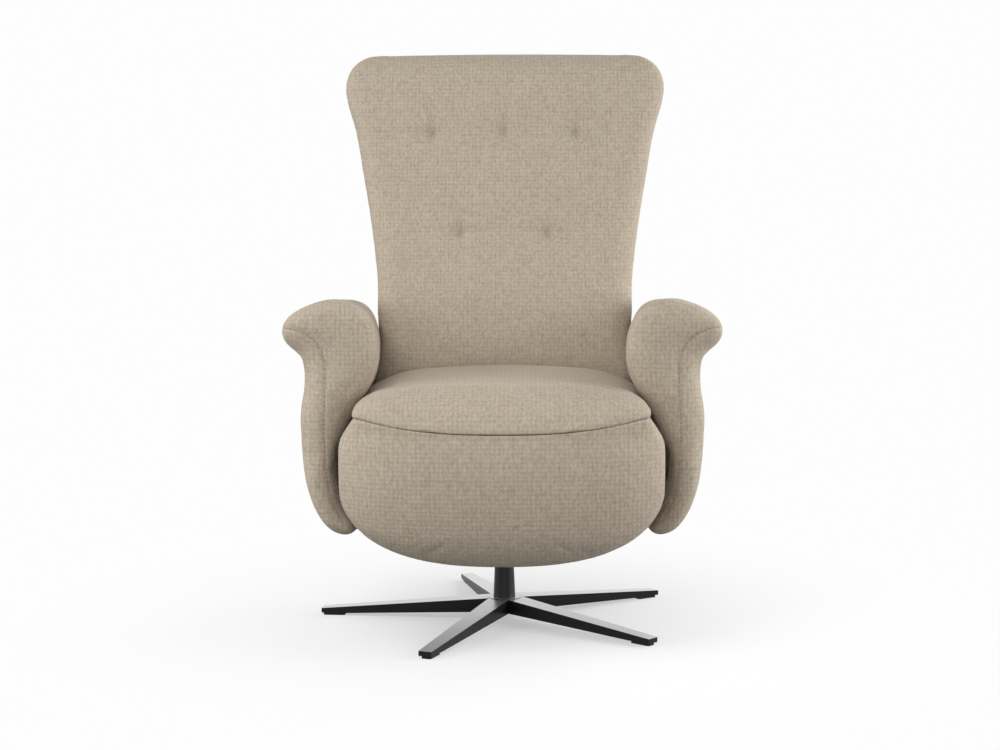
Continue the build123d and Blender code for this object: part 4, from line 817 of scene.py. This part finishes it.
# Footrest pad
pad = soft_copy("footrest_upholstery", "footrest_cushion")
smooth(pad, PAD_SMOOTHING, from_seam(coordinates(pad)))
points = coordinates(pad)
inflate(pad, PAD_PRESSURE, PAD_SWELL, (points[:, 1] > PAD_HELD_Y) | (points[:, 2] > SEAM_Z - SEAM_HELD))
points = raise_seam(coordinates(pad))
narrow = points[:, 0] * (1 - PAD_TAPER * step_up(points[:, 2], *PAD_TAPER_Z))
wide_bow, narrow_bow = (np.interp(np.abs(x), PAD_BOW_X, PAD_BOW_DEPTH) for x in (points[:, 0], narrow))
points[:, 0] = narrow
depth = points[:, 1] - PAD_REAR_Y
points[:, 1] = np.where(depth < 0, PAD_REAR_Y + depth * (narrow_bow / wide_bow), points[:, 1])
set_coordinates(pad, sew(points))
subdivide(pad)
finish_soft(pad, PAD_FILL, "footrest_cushion")
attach(pad, "footrest")

# Back cushion with its head part, drawn round the frame behind it
back = soft_copy("back_upholstery", "back_cushion", "neck_pad", "head_cushion")
set_coordinates(back, from_back(fill_dents(to_back(coordinates(back)))))
smooth(back, BACK_SMOOTHING)
inflate(back, BACK_PRESSURE, BACK_SWELL, to_back(coordinates(back))[:, 2] < BACK_HELD_W)
smooth(back, BACK_LAST_SMOOTHING)
local = to_back(coordinates(back))
local[:, 2] -= FRAME_DEPTH * step_down(local[:, 2], *FRAME_W)
local[:, 2] -= tuft_press(local)
corner = step_up(np.abs(local[:, 0]), *CORNER_U)
local[:, 1] -= step_down(local[:, 1], *FOOT_V) * (FOOT_DROP + (CORNER_DROP - FOOT_DROP) * corner)
local[:, 0] *= 1 + CORNER_SPREAD * step_down(local[:, 1], *CORNER_SPREAD_V)
set_coordinates(back, from_back(local))
subdivide(back)
finish_soft(back, BACK_FILL, "back_cushion", "neck_pad", "head_cushion")
fold = np.array([(0.0, FOLD_V - FOLD_REACH, 0.0), (0.0, FOLD_V + FOLD_REACH, 0.0)])
fold_start, fold_end = from_back(fold)
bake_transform(back)

# Rear cover of the back and the head part
rear = soft_copy("rear_cover_upholstery", "back_cover", "head_cover")
smooth(rear, COVER_SMOOTHING)
subdivide(rear)
finish_soft(rear, COVER_FILL, "back_cover", "head_cover")
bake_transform(rear)

# Arms, softest along the front's upper and inner edges and drawn in at the waist
for side, label in ((-1, "left"), (1, "right")):
    arm = soft_copy(f"{label}_arm_upholstery", f"{label}_arm_cushion")
    smooth(arm, ARM_SMOOTHING)
    points = coordinates(arm)
    edge = np.maximum(step_up(points[:, 2], *ARM_UPPER_Z), step_down(np.abs(points[:, 0]), *ARM_INNER_X))
    smooth(arm, ARM_EDGE_SMOOTHING, edge * step_down(points[:, 1], *ARM_FRONT_Y))
    points = coordinates(arm)
    waist = step_up(points[:, 2], *ARM_WAIST_FOOT_Z) * step_down(points[:, 2], *ARM_WAIST_HEAD_Z)
    smooth(arm, ARM_WAIST_SMOOTHING, waist * step_up(np.abs(points[:, 0]), *ARM_OUTER_X))
    inflate(arm, ARM_PRESSURE, ARM_SWELL)
    smooth(arm, ARM_LAST_SMOOTHING)
    set_coordinates(arm, coordinates(arm) + ARM_GROWTH * normals(arm))
    points = coordinates(arm)
    inner = step_up(-side * normals(arm)[:, 0], *ARM_REAR_FACING) * step_up(points[:, 2], *ARM_REAR_Z)
    points[:, 0] -= side * ARM_REAR_FILL * inner * step_up(points[:, 1], *ARM_REAR_Y)
    set_coordinates(arm, points)
    subdivide(arm)
    corners = np.array([(side * x, AHEAD_OF_ARM_Y, z) for x, z in ARM_SEAM])
    path, ups = on_surface(arm, even_path(corners), (0, 1, 0))
    seam_groove(arm, path)
    finish_soft(arm, ARM_FILL, f"{label}_arm_cushion")
    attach(arm, "seat")
    thread = stitches(f"{label}_arm_stitching", path - STITCH_SINK * ups, ups)
    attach(thread, "seat")

# Rear apron
apron = soft_copy("rear_apron_upholstery", "rear_apron")
smooth(apron, APRON_SMOOTHING)
subdivide(apron)
finish_soft(apron, APRON_FILL, "rear_apron")
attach(apron, "seat")

# Floor
outline = [(x * FLOOR_HALF, y * FLOOR_HALF, 0) for x, y in ((-1, -1), (1, -1), (1, 1), (-1, 1))]
floor = new_piece("floor", outline, [(0, 1, 2, 3)])
dress(floor, pale_floor("pale_floor"))

# Background, white to the camera and dimmer as a light
world = bpy.data.worlds.new("studio")
SCENE.world = world
world.use_nodes = True
background = world.node_tree.nodes["Background"]
background.inputs["Color"].default_value = WHITE
seen = seen_rays(world.node_tree)
strength = math_node(world.node_tree, "MULTIPLY_ADD", seen, BACKGROUND_WHITE - AMBIENT, AMBIENT)
link(world.node_tree, strength, background.inputs["Strength"])

# Soft square lights, each looking at its target
for name, place, target, size, power in LIGHTS:
    light = bpy.data.lights.new(name, "AREA")
    light.shape = "SQUARE"
    light.size = size
    light.energy = power
    lamp = new_object(name, light)
    lamp.visible_camera = False
    lamp.location = place
    lamp.rotation_euler = (Vector(target) - Vector(place)).to_track_quat("-Z", "Y").to_euler()

# Camera
camera_data = bpy.data.cameras.new("camera")
camera_data.lens = FOCAL_LENGTH
camera_data.sensor_width = SENSOR_WIDTH
camera = new_object("camera", camera_data)
camera.matrix_world = (
    Matrix.Rotation(CAMERA_AZIMUTH, 4, "Z")
    @ Matrix.Translation((CAMERA_OFFSET, -CAMERA_DISTANCE, CAMERA_HEIGHT))
    @ Matrix.Rotation(math.pi / 2 - CAMERA_PITCH, 4, "X")
    @ Matrix.Rotation(CAMERA_ROLL, 4, "Z")
)
SCENE.camera = camera
SCENE.view_settings.view_transform = "Standard"
